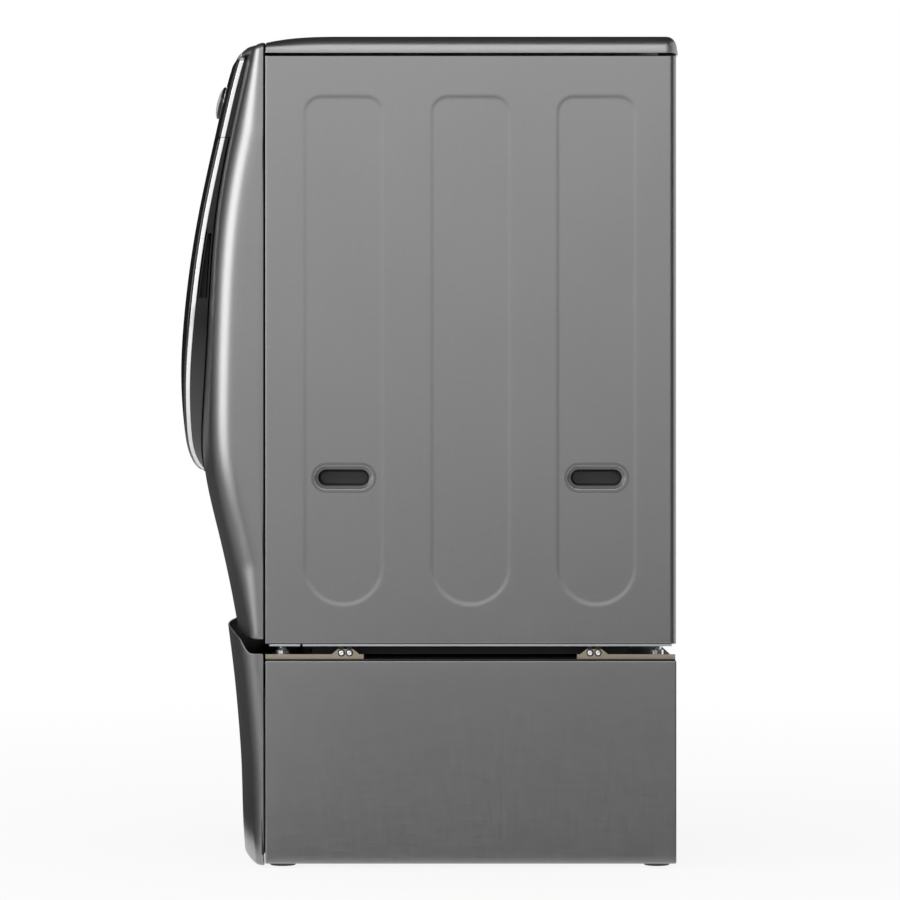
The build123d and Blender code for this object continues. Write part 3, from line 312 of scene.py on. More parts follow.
# the door frame gets the door wall finish, with its painted light from the floor
NODE_FINISH = {"door_frame": "door_wall"}
for node_name, node_object in frame["nodes"].items():
    node_object.data.materials.clear()
    node_object.data.materials.append(FINISHES[NODE_FINISH.get(node_name, node_slot[node_name])])
print("finishes:", len(FINISHES))

# %% [markdown]
# Every new piece is a grid of points. Rows and columns of the grid become quads, and a grid may close round
# on itself. Points that fall together at a pole or seam are merged afterwards, and the faces are turned
# outwards. An open sheet gets its thickness from a Solidify modifier, and a Bevel modifier may round its
# edges. Last comes a Weighted Normal modifier: it lets the large faces rule the shading, so that a flat panel
# stays flat right up to its rounded fold.

# %% Mesh helpers
MM = 0.001
FORWARD = (0, -1, 0)
MERGE_WITHIN = 2e-6
BEVEL_FROM = math.radians(50.0)


def surface(points, wrap=False):
    """Quads over a (rows, columns, 3) array of points; wrap joins the last column to the first."""
    rows, columns = points.shape[:2]
    index = np.arange(rows * columns).reshape(rows, columns)
    if wrap:
        index = np.hstack([index, index[:, :1]])
    corners = [index[:-1, :-1], index[:-1, 1:], index[1:, 1:], index[1:, :-1]]
    return points.reshape(-1, 3), np.stack(corners, -1).reshape(-1, 4)


def capped(points):
    """Closed skin over rings of points: a row at each end falls together in that ring's middle."""
    start = np.broadcast_to(points[:1].mean(1, keepdims=True), points[:1].shape)
    end = np.broadcast_to(points[-1:].mean(1, keepdims=True), points[-1:].shape)
    return surface(np.concatenate([start, points, end]), wrap=True)


def joined(*parts):
    """Several skins as one, with the corner numbers shifted."""
    shifts = np.cumsum([0] + [len(points) for points, quads in parts[:-1]])
    points = np.concatenate([points for points, quads in parts])
    return points, np.concatenate([quads + shift for (_, quads), shift in zip(parts, shifts)])


def mirrored(part):
    """The same skin on the other side of the machine."""
    points, quads = part
    return points * np.array((-1.0, 1.0, 1.0)), quads[:, ::-1]


def both_sides(part):
    """A skin and its mirror image as one."""
    return joined(part, mirrored(part))


def piece(name, part, body, slot, stands_for=(), sheet=0.0, outward=None, crease=32.0, bevel=0.0, finish=None,
          lining=None):
    """Make a mesh object from a skin, merge its doubles, turn its faces out and hang it on a body.
    A finish other than the slot's may be named, and a lining is the finish of a sheet's inner face."""
    points, quads = part
    mesh = bpy.data.meshes.new(name)
    mesh.from_pydata((points * MM).tolist(), [], quads.tolist())
    work = bmesh.new()
    work.from_mesh(mesh)
    bmesh.ops.remove_doubles(work, verts=work.verts, dist=MERGE_WITHIN)
    loose = [vertex for vertex in work.verts if not vertex.link_faces]
    bmesh.ops.delete(work, geom=loose, context="VERTS")
    bmesh.ops.recalc_face_normals(work, faces=work.faces)
    work.to_mesh(mesh)
    work.free()
    if outward is not None:
        normals = np.zeros(len(mesh.polygons) * 3)
        mesh.polygons.foreach_get("normal", normals)
        if normals.reshape(-1, 3).mean(0) @ np.array(outward) < 0:
            mesh.flip_normals()
    mesh.polygons.foreach_set("use_smooth", np.ones(len(mesh.polygons), bool))
    mesh.set_sharp_from_angle(angle=math.radians(crease))
    mesh.materials.append(FINISHES[finish or slot])
    thing = bpy.data.objects.new(name, mesh)
    bpy.context.scene.collection.objects.link(thing)
    if sheet:
        wall = thing.modifiers.new("wall", "SOLIDIFY")
        wall.thickness = sheet * MM
        wall.offset = -1.0
        if lining:
            mesh.materials.append(FINISHES[lining])
            wall.material_offset = 1
            wall.material_offset_rim = 0
    if bevel:
        edge = thing.modifiers.new("edge", "BEVEL")
        edge.width = bevel * MM
        edge.segments = 3
        edge.limit_method = "ANGLE"
        edge.angle_limit = BEVEL_FROM
    shading = thing.modifiers.new("shading", "WEIGHTED_NORMAL")
    shading.keep_sharp = True
    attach(thing, body)
    if stands_for:
        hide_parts(*stands_for)
    print(name, len(mesh.polygons), "faces on", body)


# %% [markdown]
# Two ways of making a shape cover most of the machine. A lathe turns an outline about an axis, as for feet,
# drum and knob. A plate fills an outline with rings that shrink to a middle point, then rolls over its
# edge to the back, as for glass and lids. Corners of an outline are softened first, because real edges
# catch light.

# %% Shape helpers
def softened(corners, radius, steps=4, closed=True):
    """Round each corner of an outline with a quadratic curve between points set back by the radius."""
    corners = np.asarray(corners, float)

    def set_back(edge):
        length = np.linalg.norm(edge, axis=1, keepdims=True)
        return edge / np.maximum(length, 1e-9) * np.minimum(radius, 0.45 * length)

    share = np.linspace(0.0, 1.0, steps)[None, :, None]
    start = (corners + set_back(np.roll(corners, 1, 0) - corners))[:, None]
    end = (corners + set_back(np.roll(corners, -1, 0) - corners))[:, None]
    curve = (1 - share) ** 2 * start + 2 * share * (1 - share) * corners[:, None] + share ** 2 * end
    if closed:
        return curve.reshape(-1, 2)
    return np.vstack([corners[:1], curve[1:-1].reshape(-1, 2), corners[-1:]])


def lathe(outline, centre, axis, count=72, closed=False):
    """Turn an outline of (radius, distance along the axis) points: every point becomes a ring."""
    outline = np.asarray(outline, float)
    if closed:
        outline = np.vstack([outline, outline[:1]])
    axis = np.asarray(axis, float) / np.linalg.norm(axis)
    helper = np.eye(3)[np.argmin(np.abs(axis))]
    side = np.cross(axis, helper)
    side = side / np.linalg.norm(side)
    up = np.cross(axis, side)
    angle = np.linspace(0.0, 2 * np.pi, count, endpoint=False)[:, None]
    ring = np.cos(angle) * side + np.sin(angle) * up
    radius, along = outline.T
    points = np.asarray(centre, float) + along[:, None, None] * axis + radius[:, None, None] * ring
    return surface(points, wrap=True)


def plate(outline_at, middle, lift, edge, rings=24):
    """Closed plate: rings of an outline shrink to the middle, and the edge's (inset, back) steps go round
    its rim."""
    face = np.linspace(0.0, 1.0, rings)[:, None, None]
    middle = np.asarray(middle, float)
    front = middle + face * (outline_at(edge[0][0]) - middle)
    back = middle + face[::-1] * (outline_at(edge[-1][0]) - middle)
    rows = [lift(front[..., 0], front[..., 1], edge[0][1])]
    for inset, behind in edge[1:-1]:
        flat = outline_at(inset)[None]
        rows.append(lift(flat[..., 0], flat[..., 1], behind))
    rows.append(lift(back[..., 0], back[..., 1], edge[-1][1]))
    return surface(np.concatenate(rows), wrap=True)


def rolled_edge(inset, radius, depth, steps=5):
    """Edge of a plate: a quarter round of the radius, then a straight wall down to the depth."""
    angle = np.linspace(0.0, np.pi / 2, steps)
    roll = [(inset + radius * (1 - np.sin(a)), radius * (1 - np.cos(a))) for a in angle]
    return roll + [(inset, depth)]


def rounded_rectangle(u0, u1, v0, v1, radii, arc=7, straight=24):
    """Outline with a quarter circle at each corner, from the upper right one round to the lower right."""
    turn = np.linspace(0.0, np.pi / 2, arc)
    inward = ((u1, v1, -1, -1), (u0, v1, 1, -1), (u0, v0, 1, 1), (u1, v0, -1, 1))
    corners = []
    for index, (u, v, su, sv) in enumerate(inward):
        angle = turn + index * np.pi / 2
        radius = radii[index]
        corners.append(np.stack([u + su * radius + radius * np.cos(angle),
                                 v + sv * radius + radius * np.sin(angle)], 1))
    share = np.linspace(0.0, 1.0, straight + 2)[1:-1, None]
    run = []
    for index, corner in enumerate(corners):
        following = corners[(index + 1) % 4]
        run += [corner, corner[-1] + share * (following[0] - corner[-1])]
    return np.concatenate(run)


def bar(corners, radius, axis, start, end):
    """Straight bar: a softened section carried along one axis from start to end.
    The section's two numbers are the other two axes, in their order."""
    section = softened(corners, radius)
    shape = (2, len(section))
    columns = [np.broadcast_to(value, shape) for value in section.T]
    columns.insert(axis, np.broadcast_to(np.array([[start], [end]]), shape))
    return capped(np.stack(columns, -1))


def block(u0, u1, v0, v1):
    """Four corners of a level rectangle."""
    return [(u0, v0), (u1, v0), (u1, v1), (u0, v1)]


def lines(*spans):
    """Positions of grid lines from (start, end, step) spans."""
    parts = [np.linspace(start, end, max(2, round((end - start) / step) + 1)) for start, end, step in spans]
    return np.unique(np.concatenate(parts).round(4))


def punched(u, v, quads, slots):
    """Cut slots (centre u, centre v, half straight length, radius) out of a flat grid.
    Cells inside a slot go, and corners inside it move straight out to its edge."""
    keep = np.ones(len(quads), bool)
    for centre_u, centre_v, straight, radius in slots:
        near = centre_u + np.clip(u - centre_u, -straight, straight)
        across, up = u - near, v - centre_v
        gap = np.hypot(across, up)
        inside = gap < radius
        keep &= ~inside[quads].all(1)
        push = np.where(inside, radius / np.maximum(gap, 1e-6), 1.0)
        u, v = near + across * push, centre_v + up * push
    return u, v, quads[keep]


def without(quads, u, v, windows):
    """Leave out the cells whose middle is in one of the (u0, u1, v0, v1) windows."""
    middle_u, middle_v = u[quads].mean(1), v[quads].mean(1)
    keep = np.ones(len(quads), bool)
    for u0, u1, v0, v1 in windows:
        keep &= ~((middle_u > u0) & (middle_u < u1) & (middle_v > v0) & (middle_v < v1))
    return quads[keep]


def edge_drop(distance, radius):
    """How far a rounded edge falls away at a distance in from it: a quarter circle of the radius."""
    inside = np.clip(radius - distance, 0.0, radius)
    return radius - np.sqrt(radius ** 2 - inside ** 2)


# %% [markdown]
# The side panels are trays of thin sheet with three long pressed fields, each square above and half round
# below. The press line is a soft step, so the panel is a height field: the signed distance to a field's
# outline goes through a smooth step. Grid lines crowd together where a field's edge curves.

# %% Side panels
HALF_WIDTH = 368.0
SEAM_Y = -267.0
SEAM_GAP = 3.2
FRONT_BACK_Y = SEAM_Y - SEAM_GAP / 2
SIDE_FRONT_Y = SEAM_Y + SEAM_GAP / 2
CABINET_REAR_Y = 426.0
CABINET_BOTTOM = 377.5
CABINET_TOP = 1366.0
SHEET = 1.5
FIELD_CENTRES_Y = (-133.5, 80.0, 291.3)
FIELD_HALF = 68.0
FIELD_Z0 = 441.0
FIELD_Z1 = 1300.0
FIELD_CORNER = 30.0
FIELD_DEPTH = 0.8
FIELD_SLOPE = 6.0
GRIP_Z = 657.0
GRIP_CENTRES_Y = (-133.5, 291.3)
GRIP_LENGTH = 110.0
GRIP_HEIGHT = 51.0
GRIP_HOLE_LENGTH = 86.0
GRIP_HOLE_HEIGHT = 27.5
GRIP_DEPTH = 32.0
FLANGE = 24.0
FINE = 2.7
PLAIN = 11.0


def smooth_step(value):
    """Curve from 0 to 1 with level ends."""
    value = np.clip(value, 0.0, 1.0)
    return value * value * (3 - 2 * value)


def field_depth(y, z):
    """Depth of the pressed fields: the distance inside an outline, through a smooth step."""
    depth = np.zeros(np.broadcast(y, z).shape)
    round_z = FIELD_Z0 + FIELD_HALF
    for centre in FIELD_CENTRES_Y:
        away = np.abs(y - centre)
        across = away - (FIELD_HALF - FIELD_CORNER)
        up = z - (FIELD_Z1 - FIELD_CORNER)
        corner = np.hypot(np.maximum(across, 0), np.maximum(up, 0)) + np.minimum(np.maximum(across, up), 0)
        above = corner - FIELD_CORNER
        below = np.hypot(away, z - round_z) - FIELD_HALF
        outside = np.where(z > round_z, above, below)
        depth += FIELD_DEPTH * smooth_step(-outside / FIELD_SLOPE)
    return depth


def side_panel():
    """Right side: X falls from the outer plane by the larger edge drop and by the fields' depth."""
    front_round, rear_round, bottom_round, top_round = 2.4, 12.0, 3.0, 1.5
    spans = [(SIDE_FRONT_Y, SIDE_FRONT_Y + front_round, 0.5)]
    reach = FIELD_HALF + 6.0
    last = SIDE_FRONT_Y + front_round
    for centre in FIELD_CENTRES_Y:
        spans += [(last, centre - reach, PLAIN), (centre - reach, centre + reach, FINE)]
        last = centre + reach
    spans += [(last, CABINET_REAR_Y - rear_round, PLAIN), (CABINET_REAR_Y - rear_round, CABINET_REAR_Y, 1.0)]
    y = lines(*spans)
    stops = [CABINET_BOTTOM, CABINET_BOTTOM + bottom_round, FIELD_Z0 - 7, FIELD_Z0 + FIELD_HALF + 5,
             GRIP_Z - 29, GRIP_Z + 29, FIELD_Z1 - FIELD_CORNER - 8, FIELD_Z1 + 6, CABINET_TOP - top_round,
             CABINET_TOP]
    steps = [0.75, PLAIN, FINE, PLAIN, FINE, PLAIN, FINE, PLAIN, 0.5]
    z = lines(*zip(stops, stops[1:], steps))
    drop_y = np.maximum(edge_drop(y - SIDE_FRONT_Y, front_round), edge_drop(CABINET_REAR_Y - y, rear_round))
    drop_z = np.maximum(edge_drop(z - CABINET_BOTTOM, bottom_round), edge_drop(CABINET_TOP - z, top_round))
    y = np.pad(y, 1, mode="edge")
    z = np.pad(z, 1, mode="edge")
    drop_y = np.pad(drop_y, 1, constant_values=FLANGE)
    drop_z = np.pad(drop_z, 1, constant_values=FLANGE)
    drop = np.maximum(drop_z[:, None], drop_y[None, :])
    grid = np.stack(np.broadcast_arrays(HALF_WIDTH - drop, y[None, :], z[:, None]), -1)
    points, quads = surface(grid)
    margin = 10.0
    radius = (GRIP_HOLE_HEIGHT + margin) / 2
    straight = (GRIP_HOLE_LENGTH + margin) / 2 - radius
    slots = [(centre, GRIP_Z, straight, radius) for centre in GRIP_CENTRES_Y]
    across, up, quads = punched(points[:, 1], points[:, 2], quads, slots)
    out = points[:, 0] - np.where(points[:, 0] > HALF_WIDTH - FLANGE + 1, field_depth(across, up), 0.0)
    return np.stack([out, across, up], 1), quads


def side_pair(node, part, sheet=0.0):
    """Right and left skin of a wall that stands on both sides, each in place of its own node."""
    for side, skin, sign in (("right", part, 1), ("left", mirrored(part), -1)):
        outward = (sign, 0, 0) if sheet else None
        piece(f"{node}_{side}_skin", skin, "cabinet", "graphite_metal", (f"{node}_{side}",), sheet, outward)


side_pair("side_panel", side_panel(), SHEET)

# %% [markdown]
# The carry grips are moulded cups let into the fields. Each one is a stack of slot outlines: a bead round the
# outside, a ring that dishes in towards the mouth, and the pocket behind it. Below the panels the folded edge
# of the base shows as a bright strip with a notch near the front.

# %% Carry grips
def slot_outline(length, height, arc=14):
    """Level slot with round ends, as (y, z)."""
    radius = height / 2
    return rounded_rectangle(-length / 2, length / 2, -radius, radius, (radius,) * 4, arc, 4)


def slot_stack(y, steps):
    """Skin through a stack of slots round a grip at y, each given by its length, height and X."""
    rings = []
    for length, height, x in steps:
        flat = slot_outline(length, height)
        rings.append(np.column_stack([np.full(len(flat), x), flat[:, 0] + y, flat[:, 1] + GRIP_Z]))
    return surface(np.array(rings), wrap=True)


grip_floor = HALF_WIDTH - FIELD_DEPTH
cup_bottom = HALF_WIDTH - GRIP_DEPTH
ring_steps = [
    (GRIP_LENGTH, GRIP_HEIGHT, grip_floor - 0.6),
    (GRIP_LENGTH, GRIP_HEIGHT, grip_floor + 0.3),
    (GRIP_LENGTH - 2.0, GRIP_HEIGHT - 2.0, grip_floor + 0.7),
    (GRIP_LENGTH - 8.0, GRIP_HEIGHT - 8.0, grip_floor + 0.5),
    (GRIP_LENGTH - 11.0, GRIP_HEIGHT - 11.0, grip_floor - 0.9),
    (GRIP_LENGTH - 14.0, GRIP_HEIGHT - 14.0, grip_floor - 2.2),
    (GRIP_HOLE_LENGTH + 2, GRIP_HOLE_HEIGHT + 2, grip_floor - 4.2),
    (GRIP_HOLE_LENGTH, GRIP_HOLE_HEIGHT, grip_floor - 5.2),
    (GRIP_HOLE_LENGTH + 5, GRIP_HOLE_HEIGHT + 5, grip_floor - 5.2),
    (GRIP_LENGTH, GRIP_HEIGHT, grip_floor - 0.6),
]
cup_steps = [
    (GRIP_HOLE_LENGTH + 4, GRIP_HOLE_HEIGHT + 4, grip_floor - 5.3),
    (GRIP_HOLE_LENGTH, GRIP_HOLE_HEIGHT, grip_floor - 5.3),
    (GRIP_HOLE_LENGTH - 2, GRIP_HOLE_HEIGHT - 2, cup_bottom + 9.0),
    (GRIP_HOLE_LENGTH - 8, GRIP_HOLE_HEIGHT - 8, cup_bottom + 3.0),
    (1.0, 0.5, cup_bottom + 3.0),
    (1.0, 0.5, cup_bottom),
    (GRIP_HOLE_LENGTH + 4, GRIP_HOLE_HEIGHT + 4, cup_bottom),
    (GRIP_HOLE_LENGTH + 4, GRIP_HOLE_HEIGHT + 4, grip_floor - 5.3),
]
grip_parts = (("carry_grip_rings", ring_steps, "grip_ring", ()),
              ("carry_grip_cups", cup_steps, "grip_plastic", ("carry_grips",)))
for grip_name, steps, grip_finish, stands_for in grip_parts:
    right_grips = joined(*[slot_stack(y, steps) for y in GRIP_CENTRES_Y])
    piece(grip_name, both_sides(right_grips), "cabinet", "black_plastic", stands_for, crease=50,
          finish=grip_finish)

BASE_STRIPS_Y = ((-258.0, -206.5), (-202.0, 418.0))
strip_section = block(352.0, HALF_WIDTH - 0.7, CABINET_BOTTOM - 3.9, CABINET_BOTTOM - 0.3)
base_strips = joined(*[bar(strip_section, 0.6, 1, y0, y1) for y0, y1 in BASE_STRIPS_Y])
piece("base_edge_strips", both_sides(base_strips), "cabinet", "zinc_steel")

# %% [markdown]
# The lid is one pressed cover: level on top, falling a little towards the front, with a quarter ellipse along
# its sides and back and a short skirt below that leans in a little, so that it catches the light from above.
# As a plate, its rings follow the outline in plan.

# %% Top cover
HEIGHT = 1400.0
REAR_Y = 430.0
LID_BOTTOM = 1371.0
LID_SEAM_TOP = 1389.3
LID_LEVEL_Y = -130.0
LID_DRAFT = 1.6
LID_SKIRT = 7.0
LID_ROUND = 17.0
LID_SHEET = 3.0
LID_DROP = HEIGHT - LID_BOTTOM - LID_SKIRT


def lid_outline(inset):
    """Plan of the lid: square corners at the seam, round ones at the back, inset on three sides."""
    half = HALF_WIDTH - inset
    rear = REAR_Y - inset
    small, large = 0.6, max(LID_ROUND + 6 - inset, 3.0)
    front = SIDE_FRONT_Y + min(inset, 1.0)
    return rounded_rectangle(-half, half, front, rear, (large, large, small, small), 8, 40)


def lid_lift(x, y, back):
    """Height of the lid: a skirt of one height, and on it a rounding that is lower towards the seam, because
    the top is level behind and a cubic falls to the seam in front."""
    fall = np.clip((LID_LEVEL_Y - y) / (LID_LEVEL_Y - SIDE_FRONT_Y), 0.0, 1.0)
    top = HEIGHT - (HEIGHT - LID_SEAM_TOP) * fall ** 3
    rounding = np.clip(1 - back / LID_DROP, 0.0, 1.0)
    skirt = np.clip(1 - (back - LID_DROP) / LID_SKIRT, 0.0, 1.0)
    return np.stack([x, y, LID_BOTTOM + LID_SKIRT * skirt + (top - LID_BOTTOM - LID_SKIRT) * rounding], -1)


lid_turn = np.linspace(0.0, np.pi / 2, 10)
lid_edge = [(LID_DRAFT + LID_ROUND * (1 - math.sin(a)), LID_DROP * (1 - math.cos(a))) for a in lid_turn]
lid_edge += [(LID_DRAFT / 2, LID_DROP + LID_SKIRT / 2), (0.0, HEIGHT), (LID_SHEET, HEIGHT),
             (LID_DRAFT + LID_ROUND + 2, LID_SHEET)]
piece("top_cover_skin", plate(lid_outline, (0.0, 60.0), lid_lift, lid_edge, rings=40), "cabinet",
      "graphite_metal", ("top_cover",))

# %% [markdown]
# The whole front is crowned in plan: every surface there is a side profile turned about one upright axis far
# behind the machine. A natural cubic spline through a few (height, depth) points gives the profile, and the
# turned surface follows from the circle's equation.

# %% Front profiles
CROWN_AXIS_Y = 1320.0
GLASS_LINE = [(646, -372), (667, -398), (686, -411), (738, -424), (817, -430), (948, -424), (1105, -402),
              (1263, -368.5), (1341, -350), (1372, -341), (1402, -331)]
PANEL_LINE = [(360, -325), (450, -341), (555, -364), (670, -389), (790, -394), (948, -390), (1128, -375),
              (1233, -356), (1365, -328), (1395, -322)]
DRAWER_LINE = [(0, -318), (42, -321), (148, -324.5), (232, -330), (316, -338), (396, -348), (420, -351)]


def curve_through(points, height):
    """Natural cubic spline: the second derivatives solve a three-banded system, then each span is a cubic."""
    knots, depths = np.array(points, float).T
    step = np.diff(knots)
    slope = np.diff(depths) / step
    inner = np.arange(1, len(knots) - 1)
    bands = np.eye(len(knots))
    bands[inner, inner - 1] = step[:-1]
    bands[inner, inner] = 2 * (step[:-1] + step[1:])
    bands[inner, inner + 1] = step[1:]
    bend = np.linalg.solve(bands, np.pad(6 * np.diff(slope), 1))
    span = np.clip(np.searchsorted(knots, height) - 1, 0, len(step) - 1)
    run = height - knots[span]
    start = slope[span] - step[span] * (2 * bend[span] + bend[span + 1]) / 6
    curl = (bend[span + 1] - bend[span]) / (6 * step[span])
    return depths[span] + run * (start + run * (bend[span] / 2 + run * curl))


def crowned(line, x, z, forward=0.0):
    """Depth of a crowned surface: the profile's radius about the crown axis, and a circle in plan."""
    radius = CROWN_AXIS_Y - curve_through(line, z) + forward
    return CROWN_AXIS_Y - np.sqrt(radius ** 2 - x ** 2)


def plan_rows(line, z, face_x, corner, inset_front, inset_side, arc=12, side=5):
    """Rows of a crowned front with rounded upright corners.
    Each row runs along the crown, round a corner tangent to crown and side, and back to the seam."""
    radius = (CROWN_AXIS_Y - curve_through(line, z) - inset_front)[:, None]
    corner = np.maximum(corner - inset_side, 5.0)[:, None]
    centre_x = (HALF_WIDTH - inset_side)[:, None] - corner
    centre_y = CROWN_AXIS_Y - np.sqrt((radius - corner) ** 2 - centre_x ** 2)
    lean = np.arcsin(centre_x / (radius - corner))
    turn = np.arccos(np.clip((centre_y - FRONT_BACK_Y) / corner, 0.0, 1.0))
    angle = lean + (turn - lean) * np.linspace(0.0, 1.0, arc)
    arc_x = centre_x + corner * np.sin(angle)
    arc_y = centre_y - corner * np.cos(angle)
    share = np.linspace(0.0, 1.0, 5)[1:-1]
    tail_x = face_x[-1] + (arc_x[:, :1] - face_x[-1]) * share
    side_y = arc_y[:, -1:] + (FRONT_BACK_Y - arc_y[:, -1:]) * np.linspace(0.0, 1.0, side)[1:]
    right_x = np.hstack([tail_x, arc_x, np.broadcast_to(arc_x[:, -1:], side_y.shape)])
    face = np.broadcast_to(face_x, (len(z), len(face_x)))
    face_y = CROWN_AXIS_Y - np.sqrt(radius ** 2 - face ** 2)
    right_y = np.hstack([CROWN_AXIS_Y - np.sqrt(radius ** 2 - tail_x ** 2), arc_y, side_y])
    x = np.hstack([-right_x[:, ::-1], face, right_x])
    y = np.hstack([right_y[:, ::-1], face_y, right_y])
    return x, y


glass_depths = curve_through(GLASS_LINE, np.linspace(GLASS_LINE[0][0], GLASS_LINE[-1][0], 200))
print("the glass stands out to Y =", round(float(glass_depths.min()), 1), "mm")

# %% [markdown]
# The front panel is sheet metal: crowned, with corners that are wide in the middle and tighter at both ends,
# a rolled top edge and a small roll below. Its rows climb the profile. The round door opening is punched out
# of the grid, and a collar turned about the drum axis lines it. Dark liners stand behind the seams to the
# side panels and the lid: dull black sheets that paint the shade in the seam gaps.

# %% Front panel
FRONT_BOTTOM = 384.0
FRONT_TOP = 1389.0
ROLL_FORWARD = 14.0
ROLL_SIDE = 8.0
ROLL_HEIGHT = 13.0
HEM = 7.0
CORNER_LEAST, CORNER_MOST = 18.0, 50.0
CORNER_SHARE = 1.15
DRUM_Z = 920.0
OPENING_RADIUS = 207.0
SHIELD_HALF = 300.0
TRAY_X0, TRAY_X1, TRAY_Z0, TRAY_Z1 = -284.0, -116.0, 1254.0, 1350.0
DISPLAY_X0, DISPLAY_X1, DISPLAY_Z0, DISPLAY_Z1 = 104.0, 268.0, 1292.0, 1342.0
LOCK_X, LOCK_Z = 250.0, 900.0
LINER_X0, LINER_X1 = 346.0, 362.5
LINER_HALF = 360.0
LINER_Y1 = SIDE_FRONT_Y - 0.3
COLLAR_BACK_Y = -345.0


def corner_radius(z):
    """Corner radius of the front panel: it goes with the depth of the side, between two limits."""
    room = FRONT_BACK_Y - crowned(PANEL_LINE, HALF_WIDTH, z)
    return np.clip(CORNER_SHARE * room, CORNER_LEAST, CORNER_MOST)


def front_panel():
    """Rows: hem, profile, rolled top, and a last row drawn back level to the seam."""
    quarter = np.linspace(0.0, np.pi / 2, 9)
    windows = [(TRAY_X0 - 8, TRAY_X1 + 8, TRAY_Z0 - 6, TRAY_Z1 + 6),
               (LOCK_X - 12, LOCK_X + 12, LOCK_Z - 16, LOCK_Z + 16)]
    climb = np.unique(np.concatenate([np.linspace(FRONT_BOTTOM + HEM, FRONT_TOP - ROLL_HEIGHT, 110)]
                                     + [window[2:] for window in windows]))
    face_x = np.unique(np.concatenate([np.linspace(-SHIELD_HALF, SHIELD_HALF, 81)]
                                      + [window[:2] for window in windows]))
    hem = quarter[:0:-1]
    roll = quarter[1:]
    z = np.concatenate([[FRONT_BOTTOM], FRONT_BOTTOM + HEM * (1 - np.sin(hem)), climb,
                        FRONT_TOP - ROLL_HEIGHT * (1 - np.sin(roll))])
    level = np.zeros(len(climb))
    hem_inset = np.concatenate([[HEM + 14.0], HEM * (1 - np.cos(hem))])
    inset_front = np.concatenate([hem_inset, level, ROLL_FORWARD * (1 - np.cos(roll))])
    inset_side = np.concatenate([hem_inset, level, ROLL_SIDE * (1 - np.cos(roll))])
    x, y = plan_rows(PANEL_LINE, z, face_x, corner_radius(z), inset_front, inset_side)
    heights = np.broadcast_to(z[:, None], x.shape)
    grid = np.stack([x, y, heights], -1)
    back = grid[-1:].copy()
    back[..., 1] = FRONT_BACK_Y
    points, quads = surface(np.concatenate([grid, back]))
    on_face = np.abs(points[:, 0]) < SHIELD_HALF
    quads = without(quads, points[:, 0], points[:, 2], windows)
    across, up, quads = punched(points[:, 0], points[:, 2], quads, [(0.0, DRUM_Z, 0.0, OPENING_RADIUS)])
    moved = on_face & (np.hypot(points[:, 0], points[:, 2] - DRUM_Z) < OPENING_RADIUS)
    depth = np.where(moved, crowned(PANEL_LINE, np.where(moved, across, 0.0), up), points[:, 1])
    return np.stack([across, depth, up], 1), quads


def door_collar():
    """Short wall round the door opening, from the panel's face back to a level ring."""
    angle = np.linspace(0.0, 2 * np.pi, 120, endpoint=False)
    inner, outer = OPENING_RADIUS, OPENING_RADIUS + SHEET

    def ring(radius, front):
        x, z = radius * np.cos(angle), DRUM_Z + radius * np.sin(angle)
        y = crowned(PANEL_LINE, x, z) + 0.2 if front else np.full(len(x), COLLAR_BACK_Y)
        return np.stack([x, y, z], 1)

    corners = ((inner, True), (inner, False), (outer, False), (outer, True), (inner, True))
    return surface(np.array([ring(radius, front) for radius, front in corners]), wrap=True)


piece("front_panel_skin", front_panel(), "cabinet", "graphite_metal", ("front_panel",), sheet=SHEET,
      outward=FORWARD)
piece("door_opening_collar", door_collar(), "cabinet", "graphite_metal")
# painted shade: dull black sheets behind the seams give the seam gaps their dark
liner = bar(block(LINER_X0, LINER_X1, SEAM_Y - 7, LINER_Y1), 0.5, 2, FRONT_BOTTOM + 8, FRONT_TOP - 2)
lid_liner = bar(block(SEAM_Y - 3, LINER_Y1, CABINET_TOP, FRONT_TOP - 1), 0.5, 0, -LINER_HALF, LINER_HALF)
piece("seam_shade_liners", joined(both_sides(liner), lid_liner), "cabinet", "black_plastic", finish="dull_black")

# %% [markdown]
# The glass front has the outline of a shield. Its upper part is the fixed control fascia, its lower part the
# door. Both are plates that lie on the same crowned glass surface and end in a polished round edge.

# %% Door glass
SHIELD_TOP = 1372.0
SHIELD_ROUND_Z = 965.0
PARTING_Z = 1235.0
PARTING_GAP = 3.0
GLASS_INSET = 3.5
GLASS_THICK = 5.0
DOOR_TOP = PARTING_Z - PARTING_GAP / 2
FASCIA_BOTTOM = PARTING_Z + PARTING_GAP / 2


def shield_path(inset, top, straight=40, arc=96):
    """Half round bottom with both straight sides, from the upper right down and round to the upper left."""
    half = SHIELD_HALF - inset
    rise = np.linspace(top, SHIELD_ROUND_Z, straight, endpoint=False)
    turn = np.linspace(0.0, -np.pi, arc)
    right = np.column_stack([np.full(straight, half), rise])
    bottom = np.column_stack([half * np.cos(turn), SHIELD_ROUND_Z + half * np.sin(turn)])
    return np.vstack([right, bottom, right[::-1] * (-1, 1)])


def door_outline(inset):
    """Closed outline of the door glass, with a level top edge."""
    top = DOOR_TOP - (inset - GLASS_INSET)
    side = shield_path(inset, top)
    level = np.column_stack([np.linspace(side[-1, 0], side[0, 0], 42)[1:-1], np.full(40, top)])
    return np.vstack([side, level])


def on_glass(x, z, back):
    """Place points on the crowned glass surface, a distance behind its face."""
    return np.stack([x, crowned(GLASS_LINE, x, z) + back, z], -1)


glass_edge = rolled_edge(GLASS_INSET, 1.6, GLASS_THICK)
piece("door_glass_pane", plate(door_outline, (0.0, 960.0), on_glass, glass_edge, rings=36), "door",
      "dark_glass", ("door_glass",))

# %% [markdown]
# The fascia has openings for the detergent drawer, the display and the buttons, so it is a grid instead of a
# plate: grid lines run along the straight openings, and the round ones are punched.

